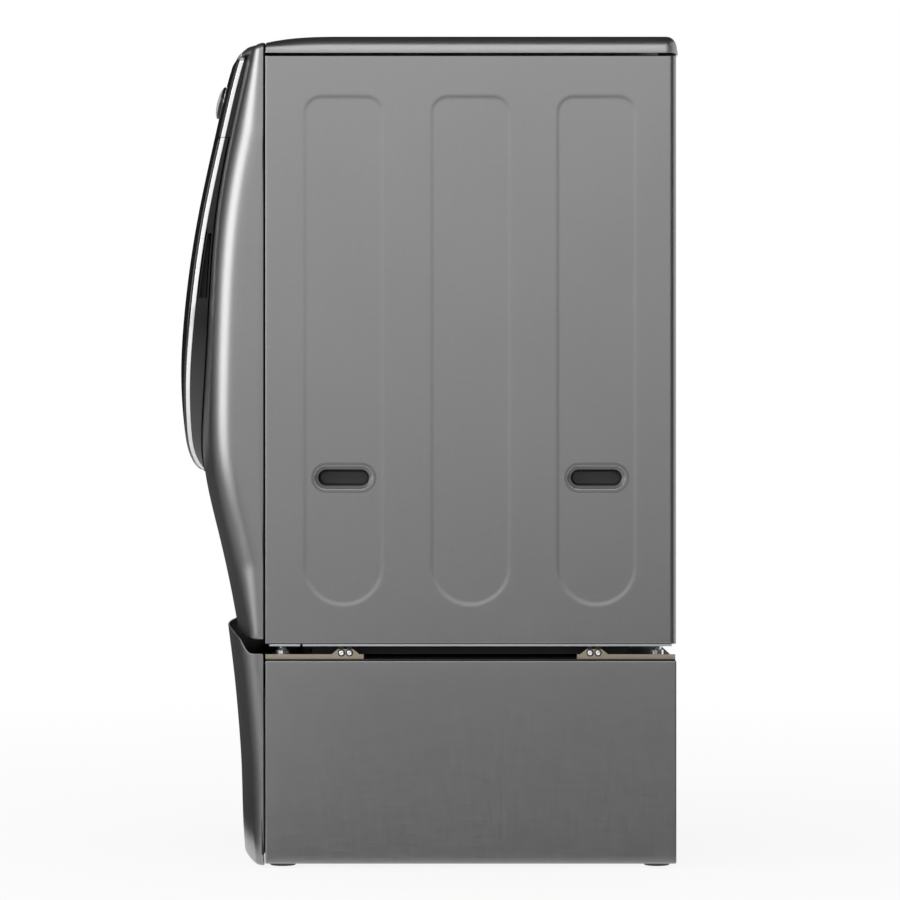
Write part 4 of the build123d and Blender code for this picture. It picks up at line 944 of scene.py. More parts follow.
# %% Control fascia
CONTROL_Z = 1322.0
CONTROL_TILT = math.radians(14.5)
KNOB_RADIUS = 29.0
BUTTON_RADIUS = 11.0
BUTTON_X = 62.0
FASCIA_CORNER = 5.5


def fascia_pane():
    """Flat grid over the fascia's outline: punched, pulled in to its round upper corners, then laid on the
    crowned glass surface."""
    half, top = SHIELD_HALF - GLASS_INSET, SHIELD_TOP - GLASS_INSET
    windows = [(TRAY_X0, TRAY_X1, TRAY_Z0, TRAY_Z1), (DISPLAY_X0, DISPLAY_X1, DISPLAY_Z0, DISPLAY_Z1)]
    near = 18.0
    stops_x = [-half, TRAY_X0, TRAY_X1, -BUTTON_X - near, -BUTTON_X + near, BUTTON_X - near, BUTTON_X + near,
               DISPLAY_X0, DISPLAY_X1, half]
    steps_x = [1.6, 6.0, 6.0, 1.8, 6.0, 1.8, 6.0, 6.0, 1.6]
    x = lines(*zip(stops_x, stops_x[1:], steps_x))
    stops_z = [FASCIA_BOTTOM, TRAY_Z0, DISPLAY_Z0, CONTROL_Z - near, CONTROL_Z + near, DISPLAY_Z1, TRAY_Z1,
               top]
    steps_z = [6.0, 6.0, 4.0, 1.8, 1.0, 4.0, 1.6]
    z = lines(*zip(stops_z, stops_z[1:], steps_z))
    grid = np.stack(np.broadcast_arrays(x[None, :], 0.0, z[:, None]), -1)
    points, quads = surface(grid)
    quads = without(quads, points[:, 0], points[:, 2], windows)
    holes = [(side * BUTTON_X, CONTROL_Z, 0.0, BUTTON_RADIUS + 0.5) for side in (-1, 1)]
    across, up, quads = punched(points[:, 0], points[:, 2], quads, holes)
    past_x = np.maximum(np.abs(across) - (half - FASCIA_CORNER), 0.0)
    past_z = np.maximum(up - (top - FASCIA_CORNER), 0.0)
    reach = np.hypot(past_x, past_z)
    outside = reach > FASCIA_CORNER
    quads = quads[~outside[quads].all(1)]
    pull = np.where(outside, FASCIA_CORNER / np.maximum(reach, 1e-6), 1.0)
    across = np.sign(across) * (np.abs(across) - past_x * (1 - pull))
    up = up - past_z * (1 - pull)
    return on_glass(across, up, 0.0), quads


def window_outline(x0, x1, z0, z1, gap, corner):
    """Outline function for a plate that fills a straight opening."""
    def outline(inset):
        step = gap + inset
        radii = (max(corner - inset, 0.4),) * 4
        return rounded_rectangle(x0 + step, x1 - step, z0 + step, z1 - step, radii, 5, 16)

    return outline


def window_pane(x0, x1, z0, z1, gap, corner, edge, rings):
    """Plate on the glass surface that fills a straight opening, but for a gap."""
    outline = window_outline(x0, x1, z0, z1, gap, corner)
    return plate(outline, ((x0 + x1) / 2, (z0 + z1) / 2), on_glass, edge, rings)


piece("fascia_pane", fascia_pane(), "cabinet", "dark_glass", ("fascia_glass",), sheet=GLASS_THICK,
      outward=FORWARD, bevel=0.5)
tray_edge = rolled_edge(0.0, 1.2, 9.0)
tray_pane = window_pane(TRAY_X0, TRAY_X1, TRAY_Z0, TRAY_Z1, 1.0, 2.0, tray_edge, rings=16)
piece("detergent_front_pane", tray_pane, "detergent_drawer", "dark_glass", ("detergent_drawer_front",))
display_edge = rolled_edge(0.0, 0.6, 4.0)
display_pane = window_pane(DISPLAY_X0, DISPLAY_X1, DISPLAY_Z0, DISPLAY_Z1, 0.3, 1.0, display_edge, rings=12)
piece("display_pane", display_pane, "cabinet", "dark_glass", ("display_window",))

# %% [markdown]
# A bright rim frames the glass. It is one section with softened corners, carried along the shield's path:
# the section's first number goes outwards in the plane of the outline, the second one back into the machine.
# The door keeps clear of the front panel, so its rim is cut short where the two come close.

# %% Chrome rim
RIM_WIDTH = 8.0
RIM_LIP = 3.2
RIM_FRONT = 3.7
RIM_BACK = 10.8
RIM_ROUND = 0.9
RIM_PARTING = 0.8
FASCIA_RIM_CORNER = 9.0
DOOR_GAP = 2.5
SHIELD_MIDDLE = (0.0, 1050.0)


def outward_of(path):
    """Unit normals of a flat path, pointing away from the shield's middle."""
    along = np.gradient(path, axis=0)
    normal = np.column_stack([along[:, 1], -along[:, 0]])
    normal = normal / np.linalg.norm(normal, axis=1, keepdims=True)
    return normal * np.sign(((path - SHIELD_MIDDLE) * normal).sum(1))[:, None]


def carried(path, section, deepest):
    """Carry a closed (outward, back) section along a path on the glass, no deeper than a limit allows."""
    normal = outward_of(path)
    out, back = np.asarray(section, float).T
    flat = path[:, None] + out[None, :, None] * normal[:, None]
    y = crowned(GLASS_LINE, path[:, 0], path[:, 1])[:, None] + back
    limit = deepest(path[:, 0], path[:, 1])[:, None]
    y = np.minimum(y, limit + 0.01 * back)
    return capped(np.stack([flat[..., 0], y, flat[..., 1]], -1))


def door_limit(x, z):
    """Deepest place for door pieces: just in front of the front panel."""
    return crowned(PANEL_LINE, x, z) - DOOR_GAP - 0.5


def fascia_limit(x, z):
    """Deepest place for fascia pieces: on the front panel's face."""
    return crowned(PANEL_LINE, x, z) - 0.6


def fascia_path(inset):
    """Up the right side, round the upper corners and down the left side of the fascia."""
    turn = np.linspace(0.0, np.pi / 2, 10)
    corner = FASCIA_RIM_CORNER - inset
    side, top = SHIELD_HALF - inset, SHIELD_TOP - inset
    rise = np.linspace(PARTING_Z + RIM_PARTING / 2, top - corner, 24, endpoint=False)
    right = np.column_stack([np.full(24, side), rise])
    bend = np.column_stack([side - corner + corner * np.cos(turn), top - corner + corner * np.sin(turn)])
    level = np.column_stack([np.linspace(side - corner, 0.0, 20)[1:], np.full(19, top)])
    half = np.vstack([right, bend, level])
    return np.vstack([half, half[-2::-1] * (-1, 1)])


pane_back = GLASS_THICK + 0.2
rim_corners = [(-RIM_WIDTH, pane_back), (-RIM_LIP, pane_back), (-RIM_LIP, RIM_FRONT), (0.0, RIM_FRONT),
               (0.0, RIM_BACK), (-RIM_WIDTH, RIM_BACK)]
rim_section = softened(rim_corners, RIM_ROUND)
rim_end = PARTING_Z - RIM_PARTING / 2
door_rim = carried(shield_path(0.0, rim_end), rim_section, door_limit)
piece("door_rim_bright", door_rim, "door", "chrome_trim", ("door_rim",), crease=60)
fascia_rim = carried(fascia_path(0.0), rim_section, fascia_limit)
piece("fascia_rim_bright", fascia_rim, "cabinet", "chrome_trim", ("fascia_trim",), crease=60)

# %% [markdown]
# Round the shield the panel carries a dark band: partly a plastic surround, partly painted dark reflection of
# the panel next to the door. Over the band lies a brow with a bright bead, which follows the crown and sinks
# into the panel at both ends. Behind the rim a dark wall closes the space to the panel. It is left open at
# the hinge and at the pocket where a finger pulls the door.

# %% Surround, brow and door wall
SURROUND_WIDTH = 13.0
BROW_HALF = 362.0
BROW_TAPER = 40.0
BROW_SINK = 17.0
BROW_SECTION = [(-337.5, 1372.7), (-335.6, 1379.0), (-329.0, 1384.8), (-319.0, 1388.0), (-308.0, 1388.0),
                (-308.0, 1372.7)]
BEAD_SECTION = [(-338.0, 1373.2), (-336.2, 1379.2), (-331.0, 1383.7), (-331.0, 1381.5), (-334.5, 1378.0),
                (-336.0, 1373.2)]
WALL_INSET = 0.6
WALL_SHEET = 0.35
HINGE_GAP = (-400, -200, 896, 992)
POCKET_GAP = (200, 400, 956, 1078)


def surround_band():
    """Dark band on the panel round the shield: rows step outwards from its path and lie on the panel's face,
    and the first and last rows dip into it."""
    path = shield_path(0.0, SHIELD_TOP)
    normal = outward_of(path)
    out = np.array((0.8, 0.8, 1.2, SURROUND_WIDTH / 2, SURROUND_WIDTH - 0.4, SURROUND_WIDTH, SURROUND_WIDTH))
    lift = np.array((-0.5, 0.3, 0.5, 0.5, 0.5, 0.3, -0.5))
    flat = path[None] + out[:, None, None] * normal[None]
    y = crowned(PANEL_LINE, flat[..., 0], flat[..., 1]) - lift[:, None]
    return surface(np.stack([flat[..., 0], y, flat[..., 1]], -1))


# painted reflection: the black band darkens the panel next to the shield, where the metal shows a dark
# reflection
piece("shield_surround", surround_band(), "cabinet", "black_plastic", outward=FORWARD, crease=15)


def crown_strip(corners, radius, half):
    """Strip over the fascia: a section of (depth at the middle, height) follows the crown of the front,
    and past the start of the taper it sinks back into the panel."""
    depth, height = softened(corners, radius).T
    x = np.linspace(-half, half, 121)[:, None]
    sink = BROW_SINK * smooth_step((np.abs(x) - BROW_HALF + BROW_TAPER) / BROW_TAPER)
    y = CROWN_AXIS_Y - np.sqrt((CROWN_AXIS_Y - depth - sink) ** 2 - x ** 2)
    return capped(np.stack(np.broadcast_arrays(x, np.minimum(y, FRONT_BACK_Y - 1), height), -1))


piece("front_brow", crown_strip(BROW_SECTION, 2.5, BROW_HALF), "cabinet", "graphite_metal", crease=60)
piece("brow_bead", crown_strip(BEAD_SECTION, 0.6, SHIELD_HALF - 1), "cabinet", "chrome_trim", crease=60)


def wall_behind(path, limit, gaps=()):
    """Upright wall from the back of the rim to a limit, left open at the gaps."""
    x, z = path.T
    front = crowned(GLASS_LINE, x, z) + RIM_BACK + 0.3
    rear = np.maximum(limit(x, z) + 0.3, front + 0.05)
    share = np.linspace(0.0, 1.0, 6)[:, None]
    y = front + share * (rear - front)
    points, quads = surface(np.stack(np.broadcast_arrays(x, y, z), -1))
    return points, without(quads, points[:, 0], points[:, 2], gaps)


# both walls use the door wall finish, painted paler low down: painted light from the floor
door_wall = wall_behind(shield_path(WALL_INSET, rim_end), door_limit, (HINGE_GAP, POCKET_GAP))
piece("door_wall_skin", door_wall, "door", "button_plastic", sheet=WALL_SHEET, finish="door_wall")
fascia_wall = wall_behind(fascia_path(WALL_INSET), fascia_limit)
piece("fascia_wall_skin", fascia_wall, "cabinet", "button_plastic", sheet=WALL_SHEET, finish="door_wall")

# %% [markdown]
# The knob and the two buttons are turned about axes that lean back with the fascia. Their outlines give
# (radius, distance out of the glass), with every edge softened. A dark pointer on the silver face shows how
# far the knob is turned.

# %% Knob and buttons
KNOB_BASE = 4.2
KNOB_TOP = 10.4
DOME_RISE = 5.5
POINTER_HALF = 0.9
POINTER_LIFT = 0.15
control_axis = np.array((0.0, -math.cos(CONTROL_TILT), math.sin(CONTROL_TILT)))
control_up = np.array((0.0, math.sin(CONTROL_TILT), math.cos(CONTROL_TILT)))


def control_origin(x):
    """Place on the glass where a control's axis leaves it."""
    return np.array((x, float(crowned(GLASS_LINE, np.array(x), np.array(CONTROL_Z))), CONTROL_Z))


def turned_control(outline, x=0.0, count=72, closed=False):
    """Outline turned about the axis of the control at x."""
    return lathe(outline, control_origin(x), control_axis, count, closed)


def dome_height(radius):
    """Height of the knob's silver face: a cubic fall from its middle to its edge."""
    return KNOB_TOP + DOME_RISE * (1 - (radius / KNOB_RADIUS) ** 3)


def pointer():
    """Strip on the silver face, lifted a hair off it: it runs outwards along the knob's upward direction."""
    reach = np.linspace(KNOB_RADIUS - 12, KNOB_RADIUS - 3, 8)
    radius, across = np.meshgrid(reach, (-POINTER_HALF, POINTER_HALF))
    out = dome_height(radius) + POINTER_LIFT
    spot = control_origin(0.0) + out[..., None] * control_axis + radius[..., None] * control_up
    return surface(spot + across[..., None] * np.array((1.0, 0.0, 0.0)))


knob_seat = [(KNOB_RADIUS - 8, -0.5), (KNOB_RADIUS + 1.6, -0.5), (KNOB_RADIUS - 0.4, 3.6),
             (KNOB_RADIUS - 8, 3.6)]
piece("knob_seat_ring", turned_control(softened(knob_seat, 0.5), closed=True), "cabinet", "zinc_steel")
knob_body = [(0, KNOB_BASE), (KNOB_RADIUS - 1, KNOB_BASE), (KNOB_RADIUS, KNOB_BASE + 0.8),
             (KNOB_RADIUS, KNOB_TOP - 0.4), (KNOB_RADIUS - 1, KNOB_TOP), (0, KNOB_TOP)]
knob = turned_control(softened(knob_body, 0.6, closed=False))
piece("knob_body", knob, "knob", "button_plastic", ("control_knob",))
dome_radius = np.append(np.linspace(KNOB_RADIUS - 0.8, 4.0, 14), 0.0)
dome_face = np.column_stack([dome_radius, dome_height(dome_radius)])
knob_dome = turned_control(np.vstack([(dome_radius[0], KNOB_TOP - 0.6), dome_face]))
# painted highlight: the dome's diffuse silver stands in for the bright reflection of a chrome cap
piece("knob_dome", knob_dome, "knob", "chrome_trim", finish="silver_painted_sheen")
piece("knob_pointer", pointer(), "knob", "button_plastic", outward=FORWARD, finish="dull_black")
button = [(0, -9), (BUTTON_RADIUS, -9), (BUTTON_RADIUS, 2.4), (BUTTON_RADIUS - 1.2, 3.2),
          (BUTTON_RADIUS - 4, 2.9), (0, 2.6)]
for button_name, button_x in (("power_button", -BUTTON_X), ("start_button", BUTTON_X)):
    button_cap = turned_control(softened(button, 0.5, closed=False), button_x, 48)
    piece(button_name + "_cap", button_cap, button_name, "button_plastic", (button_name,))

# %% [markdown]
# Printed marks lie a hair in front of the glass. The dial has a tick at every step of its turn, longer at
# each quarter. The display shows a time: each digit is a choice from seven bars, whose middles are given in
# half widths and half heights of the digit.

# %% Dial marks and display
MARK_LIFT = 0.25
TICKS = 16
TICK_INNER, TICK_OUTER = 35.0, 39.0
TICK_HALF = 0.5
QUARTER_EXTRA = 1.5
DIGIT_HALF_WIDTH, DIGIT_HALF_HEIGHT, BAR_HALF = 6.5, 12.0, 1.2
DIGIT_MIDDLES_X = (160.0, 190.0, 210.0)
COLON_X = 175.0
COLON_HALF = 5.0
SEGMENTS = {"a": (0, 1), "b": (1, 0.5), "c": (1, -0.5), "d": (0, -1), "e": (-1, -0.5), "f": (-1, 0.5),
            "g": (0, 0)}
LIT = ("abcdef", "bcfg", "acdfg")
DISPLAY_Z = (DISPLAY_Z0 + DISPLAY_Z1) / 2


def mark(middle, half_length, half_width, angle):
    """Flat rectangle on the glass, turned by an angle about its middle."""
    along, across = np.meshgrid(np.linspace(-half_length, half_length, 4), (-half_width, half_width))
    x = middle[0] + along * math.cos(angle) - across * math.sin(angle)
    z = middle[1] + along * math.sin(angle) + across * math.cos(angle)
    return surface(on_glass(x, z, -MARK_LIFT))


def digit(middle_x, bars):
    """Lit bars of one digit: the level ones at its ends and middle, the upright ones at its sides."""
    marks = []
    for side, height in (SEGMENTS[bar_name] for bar_name in bars):
        middle = (middle_x + side * DIGIT_HALF_WIDTH, DISPLAY_Z + height * DIGIT_HALF_HEIGHT)
        if side:
            marks.append(mark(middle, DIGIT_HALF_HEIGHT / 2 - BAR_HALF, BAR_HALF, math.pi / 2))
        else:
            marks.append(mark(middle, DIGIT_HALF_WIDTH - BAR_HALF, BAR_HALF, 0.0))
    return joined(*marks)


ticks = []
for step in range(TICKS):
    turn = 2 * math.pi * step / TICKS
    inner = TICK_INNER - (QUARTER_EXTRA if step % 4 == 0 else 0.0)
    reach = (inner + TICK_OUTER) / 2
    place = (reach * math.sin(turn), CONTROL_Z + reach * math.cos(turn) * math.cos(CONTROL_TILT))
    ticks.append(mark(place, (TICK_OUTER - inner) / 2, TICK_HALF, math.pi / 2 - turn))
piece("dial_ticks", joined(*ticks), "cabinet", "white_plastic", outward=FORWARD)
dots = [mark((COLON_X, DISPLAY_Z + height), BAR_HALF, BAR_HALF, 0.0) for height in (-COLON_HALF, COLON_HALF)]
digits = [digit(middle_x, bars) for middle_x, bars in zip(DIGIT_MIDDLES_X, LIT)]
piece("display_digits", joined(*digits, *dots), "cabinet", "white_plastic", outward=FORWARD,
      finish="display_light")

# %% [markdown]
# The pedestal's drawer front is crowned like the machine above it, and its upper edge flares out into a pull
# lip that is high in the middle and falls away to both sides. Each column of the grid climbs from the lower
# edge to the lip's height at that column.

# %% Pedestal drawer front
LIP_TOP = 397.0
LIP_SIDE = 359.5
LIP_LEVEL = 190.0
LIP_SAG = 13.0
LIP_STEP = 342.0
LIP_END = 364.0
LIP_BEAD = 1.2
DRAWER_BOTTOM = 4.5
DRAWER_HEM = 3.0
HEM_INSET = 2.0
HEM_RETURN = 16.0
SEAM_FADE = 20.0
DRAWER_CORNER = 38.0
DRAWER_SHELL = 3.0
DRAWER_ROWS = 64


def lip_height(x):
    """Upper edge of the drawer front: level, then a gentle sag, and a smooth step down round the corners."""
    sag = LIP_SAG * np.clip((np.abs(x) - LIP_LEVEL) / (LIP_STEP - LIP_LEVEL), 0.0, 1.0) ** 1.5
    step = (LIP_TOP - LIP_SAG - LIP_SIDE) * smooth_step((np.abs(x) - LIP_STEP) / (LIP_END - LIP_STEP))
    return LIP_TOP - sag - step


def drawer_skin():
    """Outer skin: plan rows at each share of the way up, then lifted to the lip's height column by column.
    The lowest row turns under as a hem."""
    face_x = np.linspace(-SHIELD_HALF, SHIELD_HALF, 91)
    share = np.linspace(0.0, 1.0, DRAWER_ROWS)
    z = DRAWER_BOTTOM + DRAWER_HEM + share * (LIP_SIDE - DRAWER_BOTTOM - DRAWER_HEM)
    level, corner = np.zeros(DRAWER_ROWS), np.full(DRAWER_ROWS, DRAWER_CORNER)
    plan_x, plan_y = plan_rows(DRAWER_LINE, z, face_x, corner, level, level)
    top = lip_height(plan_x[-1])
    heights = DRAWER_BOTTOM + DRAWER_HEM + share[:, None] * (top - DRAWER_BOTTOM - DRAWER_HEM)
    lean = curve_through(DRAWER_LINE, heights) - curve_through(DRAWER_LINE, z)[:, None]
    y = np.minimum(plan_y + lean * np.clip((FRONT_BACK_Y - plan_y) / SEAM_FADE, 0.0, 1.0), FRONT_BACK_Y)
    grid = np.stack([plan_x, y, heights], -1)
    under = grid[:1] + np.array((0.0, 0.0, -DRAWER_HEM))
    under[..., 0] *= 1 - HEM_INSET / HALF_WIDTH
    under[..., 1] = np.minimum(under[..., 1] + HEM_INSET, FRONT_BACK_Y)
    inner = under.copy()
    inner[..., 1] = np.minimum(inner[..., 1] + HEM_RETURN, FRONT_BACK_Y)
    return np.concatenate([inner, under, grid])


drawer_rows = drawer_skin()
piece("drawer_front_skin", surface(drawer_rows), "pedestal_drawer", "graphite_metal", ("drawer_front",),
      sheet=DRAWER_SHELL, outward=FORWARD, bevel=0.8, lining="dull_black")


def tube(path, radius, sides=10):
    """Round bar along a path: rings of a circle square to the path's direction."""
    along = np.gradient(path, axis=0)
    along = along / np.linalg.norm(along, axis=1, keepdims=True)
    level = np.cross(along, (0.0, 0.0, 1.0))
    level = level / np.linalg.norm(level, axis=1, keepdims=True)
    upward = np.cross(level, along)
    turn = np.linspace(0.0, 2 * np.pi, sides, endpoint=False)[None, :, None]
    return capped(path[:, None] + radius * (np.cos(turn) * level[:, None] + np.sin(turn) * upward[:, None]))


lip_path = drawer_rows[-1] * (1 - LIP_BEAD / HALF_WIDTH, 1.0, 1.0) + (0.0, 1.4, 0.3)
lip_path[:, 1] = np.minimum(lip_path[:, 1], FRONT_BACK_Y - LIP_BEAD)
along_lip = np.abs(np.diff(lip_path, axis=0, prepend=np.nan)).sum(1) != 0
# painted highlight: the bead's own finish makes the lip's edge show as a light line
piece("drawer_lip_bead", tube(lip_path[along_lip], LIP_BEAD), "pedestal_drawer", "graphite_metal",
      finish="lip_edge_highlight", crease=60)


def behind_front(x, z, back):
    """Lift for the plate that closes the drawer front: upright, and back goes towards +Y."""
    return np.stack([x, np.full(x.shape, FRONT_BACK_Y - DRAWER_SHELL) + back, z], -1)


back_outline = window_outline(-HALF_WIDTH + 6, HALF_WIDTH - 6, 20.0, 336.0, 0.0, 6.0)
back_plate = plate(back_outline, (0.0, 178.0), behind_front, rolled_edge(0.0, 1.0, DRAWER_SHELL), rings=4)
piece("drawer_front_back", back_plate, "pedestal_drawer", "black_plastic")

# %% [markdown]
# The pedestal's side walls are plain trays with rounded folds. As plates, they lie in the plane of Y and Z.

# %% Pedestal sides
PEDESTAL_BOTTOM = 8.0
PEDESTAL_TOP = 350.0


def side_lift(y, z, back):
    """Lift for the right side: back goes into the machine."""
    return np.stack([np.full(y.shape, HALF_WIDTH) - back, y, z], -1)


wall_outline = window_outline(SIDE_FRONT_Y, CABINET_REAR_Y, PEDESTAL_BOTTOM, PEDESTAL_TOP, 0.0, 3.0)
wall_edge = rolled_edge(0.0, 3.0, FLANGE) + [(SHEET, FLANGE), (SHEET, SHEET)]
pedestal_wall = plate(wall_outline, (80.0, 179.0), side_lift, wall_edge, rings=8)
side_pair("pedestal_side", pedestal_wall)

# %% [markdown]
# Small turned parts: levelling feet with their lock nuts, rubber feet and screw heads. A lathe with eight
# steps turns the nut.

# %% Feet and screws
FOOT_X = 312.0
FOOT_YS = (-238.0, 396.0)
DECK_TOP = 352.0
BRACKET_TABS_Y = (-130.5, 287.5)
BRACKET_SETBACK = 3.4
SCREW_SPACING = 13.5
SCREW_Z = DECK_TOP + 10.5
foot_places = [(x, y) for x in (-FOOT_X, FOOT_X) for y in FOOT_YS]


def upright(outline, x, y, count=48):
    """Turn a (radius, height) outline about an upright axis."""
    return lathe(outline, (x, y, 0.0), (0, 0, 1), count)


stud = [(0, DECK_TOP), (17, DECK_TOP), (18, DECK_TOP + 1.2), (17, DECK_TOP + 2.6), (5, DECK_TOP + 4.0),
        (5, DECK_TOP + 13.0), (7.2, DECK_TOP + 13.8), (8.2, DECK_TOP + 16.5), (7.4, DECK_TOP + 19.6),
        (5, DECK_TOP + 21.0), (5, CABINET_BOTTOM + SHEET), (0, CABINET_BOTTOM + SHEET)]
nut = [(5.1, DECK_TOP + 3.6), (10.4, DECK_TOP + 3.6), (11.4, DECK_TOP + 4.6), (11.4, DECK_TOP + 11.8),
       (10.4, DECK_TOP + 12.8), (5.1, DECK_TOP + 12.8), (5.1, DECK_TOP + 3.6)]
feet = [upright(stud, x, y) for x, y in foot_places] + [upright(nut, x, y, 8) for x, y in foot_places]
piece("levelling_feet_turned", joined(*feet), "cabinet", "zinc_steel", ("levelling_feet",),
      finish="bright_bolt")
pad = softened([(0, 0), (21, 0), (22, 1.5), (22, 6.5), (20, 7.9), (0, 7.9)], 0.6, closed=False)
pads = joined(*[upright(pad, x, y) for x, y in foot_places])
piece("pedestal_feet_turned", pads, "cabinet", "grey_rubber", ("pedestal_feet",))
head = [(0, -4.5), (2.4, -4.5), (2.4, 0.6), (4.3, 0.6), (4.3, 1.3), (3.7, 2.3), (2.6, 2.8), (2.0, 2.7),
        (1.6, 1.6), (0, 1.4)]
washer = [(2.5, 0.05), (6.2, 0.05), (6.2, 0.4), (5.8, 0.6), (2.5, 0.6)]
screw_places = [(HALF_WIDTH - BRACKET_SETBACK, tab + side * SCREW_SPACING / 2, SCREW_Z)
                for tab in BRACKET_TABS_Y for side in (-1, 1)]
heads = both_sides(joined(*[lathe(head, place, (1, 0, 0), 24) for place in screw_places]))
piece("bracket_screw_heads", heads, "cabinet", "zinc_steel", ("bracket_screws",), finish="bright_bolt")
# painted shade: the washers are near black, a dark ring of shade round each screw head
washers = both_sides(joined(*[lathe(washer, place, (1, 0, 0), 24, closed=True) for place in screw_places]))
piece("bracket_screw_washers", washers, "cabinet", "zinc_steel", finish="dark_enamel")

# %% [markdown]
# Behind the door: the rubber seal with its fold, the glass bowl, and the stainless drum. All are turned about
# the drum's level axis. The drum wall carries a grid of shallow pillows, and at each crossing a dark disc
# paints the shade of a hole.

# %% Seal, bowl and drum
def about_drum(outline, closed=True):
    """Turn an outline of (radius, Y) points about the drum's axis."""
    return lathe(outline, (0.0, 0.0, DRUM_Z), (0, 1, 0), 120, closed)


seal = [(206.6, -350), (206.6, -368), (190, -373), (188, -369), (202, -363), (202, -350), (194, -345),
        (194, -340), (212, -326), (212, -300), (218.6, -300), (218.6, -331), (200, -342), (206.6, -346)]
piece("door_seal", about_drum(softened(seal, 3.0)), "cabinet", "grey_rubber", ("door_gasket",), crease=60)
bowl = softened([(192, -381), (192, -386), (180, -386), (142, -307), (0, -315), (0, -310), (145, -302),
                 (148, -306), (185, -381)], 9.0, steps=7)
bowl[:, 0] = np.maximum(bowl[:, 0], 0.0)
piece("door_bowl_pressed", about_drum(bowl), "door", "bowl_glass", ("door_bowl",), crease=60)

DRUM_RADIUS = 292.0
DRUM_FRONT_Y = -268.0
DRUM_BACK_Y = 268.0
PILLOWS_ROUND = 60
PILLOW_PITCH = 26.0
PILLOW_DEPTH = 1.6
HOLE_RADIUS = 2.2
DRUM_MOUTH = 226.0
LIFTER_ROOT = 291.0
LIFTER_TIP = 221.0
LIFTER_HALF = 205.0


def drum_wall():
    """Wall of the drum: the size of a product of two sines comes off its inner radius, which makes a grid
    of pillows that fades out at both ends."""
    y = np.linspace(DRUM_FRONT_Y + 14, DRUM_BACK_Y - 4, 128)
    angle = np.linspace(0.0, 2 * np.pi, 6 * PILLOWS_ROUND, endpoint=False)
    fade = smooth_step((y - y[0]) / 20) * smooth_step((y[-1] - y) / 20)
    wave = np.sin(angle * PILLOWS_ROUND / 2)[None, :] * np.sin(np.pi * (y - y[0]) / PILLOW_PITCH)[:, None]
    inner = DRUM_RADIUS - PILLOW_DEPTH * np.abs(wave) * fade[:, None]
    lip = [(DRUM_MOUTH, DRUM_FRONT_Y - 2), (DRUM_MOUTH + 14, DRUM_FRONT_Y - 2),
           (DRUM_RADIUS - 6, DRUM_FRONT_Y + 8)]
    outside = [(DRUM_RADIUS, DRUM_BACK_Y), (DRUM_RADIUS + SHEET, DRUM_BACK_Y),
               (DRUM_RADIUS + SHEET, DRUM_FRONT_Y + 10), (DRUM_MOUTH + 14, DRUM_FRONT_Y - 4),
               (DRUM_MOUTH, DRUM_FRONT_Y - 4), (DRUM_MOUTH, DRUM_FRONT_Y - 2)]
    before = np.array(lip)[:, :, None] * np.ones(len(angle))
    after = np.array(outside)[:, :, None] * np.ones(len(angle))
    radius = np.concatenate([before[:, 0], inner, after[:, 0]])
    along = np.concatenate([before[:, 1], np.broadcast_to(y[:, None], inner.shape), after[:, 1]])
    return surface(np.stack([radius * np.cos(angle), along, DRUM_Z + radius * np.sin(angle)], -1), wrap=True)


def drum_holes():
    """Small dark discs, painted shade in place of holes, where the grid lines between the pillows cross: each
    is a ring of eight points, closed by three quads."""
    rows = np.arange(1, 20)
    y = DRUM_FRONT_Y + 14 + rows * PILLOW_PITCH
    y = y[y < DRUM_BACK_Y - 16]
    angle = np.arange(PILLOWS_ROUND) * 2 * np.pi / PILLOWS_ROUND
    along, around = [value.ravel() for value in np.meshgrid(y, angle, indexing="ij")]
    spoke = np.linspace(0.0, 2 * np.pi, 8, endpoint=False)
    lift = DRUM_RADIUS - 0.5
    turn = around[:, None] + HOLE_RADIUS * np.cos(spoke) / lift
    step = along[:, None] + HOLE_RADIUS * np.sin(spoke)
    rim = np.stack([lift * np.cos(turn), step, DRUM_Z + lift * np.sin(turn)], -1)
    first = np.arange(len(rim))[:, None] * len(spoke)
    thirds = ((0, 1, 2, 3), (0, 3, 4, 7), (4, 5, 6, 7))
    return rim.reshape(-1, 3), np.concatenate([first + np.array(corners) for corners in thirds])


piece("drum_wall", drum_wall(), "drum", "stainless", ("drum_shell",), crease=60)
# painted shade: dark discs stand for the drum's holes, whose dark is shade
piece("drum_perforations", drum_holes(), "drum", "black_plastic")
back_rings = [(0, 257.2), (40, 257.2), (52, 260.5), (92, 260.5), (104, 256.6), (168, 256.6), (182, 260.8),
              (232, 260.8), (244, 257.5), (291.6, 261.6), (291.6, 265.8), (0, 265.8)]
drum_back = about_drum(softened(back_rings, 5.0, closed=False), closed=False)
piece("drum_back_pressed", drum_back, "drum", "stainless", ("drum_back",), crease=60)


def lifter(angle):
    """Paddle: a rounded wedge section carried along the drum, smaller towards both ends, with its foot on
    the wall's circle."""
    wedge = [(-46, LIFTER_ROOT), (46, LIFTER_ROOT), (20, LIFTER_TIP), (-20, LIFTER_TIP)]
    section = softened(wedge, 14.0, steps=7)
    y = np.linspace(-LIFTER_HALF, LIFTER_HALF, 25)
    swell = np.sqrt(np.clip(1 - (np.abs(y) / (LIFTER_HALF + 2)) ** 8, 0.0, 1.0))[:, None]
    across = section[None, :, 0] * (0.55 + 0.45 * swell)
    radial = LIFTER_ROOT - (LIFTER_ROOT - section[None, :, 1]) * swell
    radial = np.minimum(radial, np.sqrt((LIFTER_ROOT + 0.3) ** 2 - across ** 2))
    x = radial * math.cos(angle) - across * math.sin(angle)
    z = DRUM_Z + radial * math.sin(angle) + across * math.cos(angle)
    return capped(np.stack(np.broadcast_arrays(x, y[:, None], z), -1))


paddles = joined(*[lifter(angle) for angle in np.radians((-180.0, -60.0, 60.0))])
piece("drum_paddles", paddles, "drum", "white_plastic", ("drum_lifters",), crease=60)

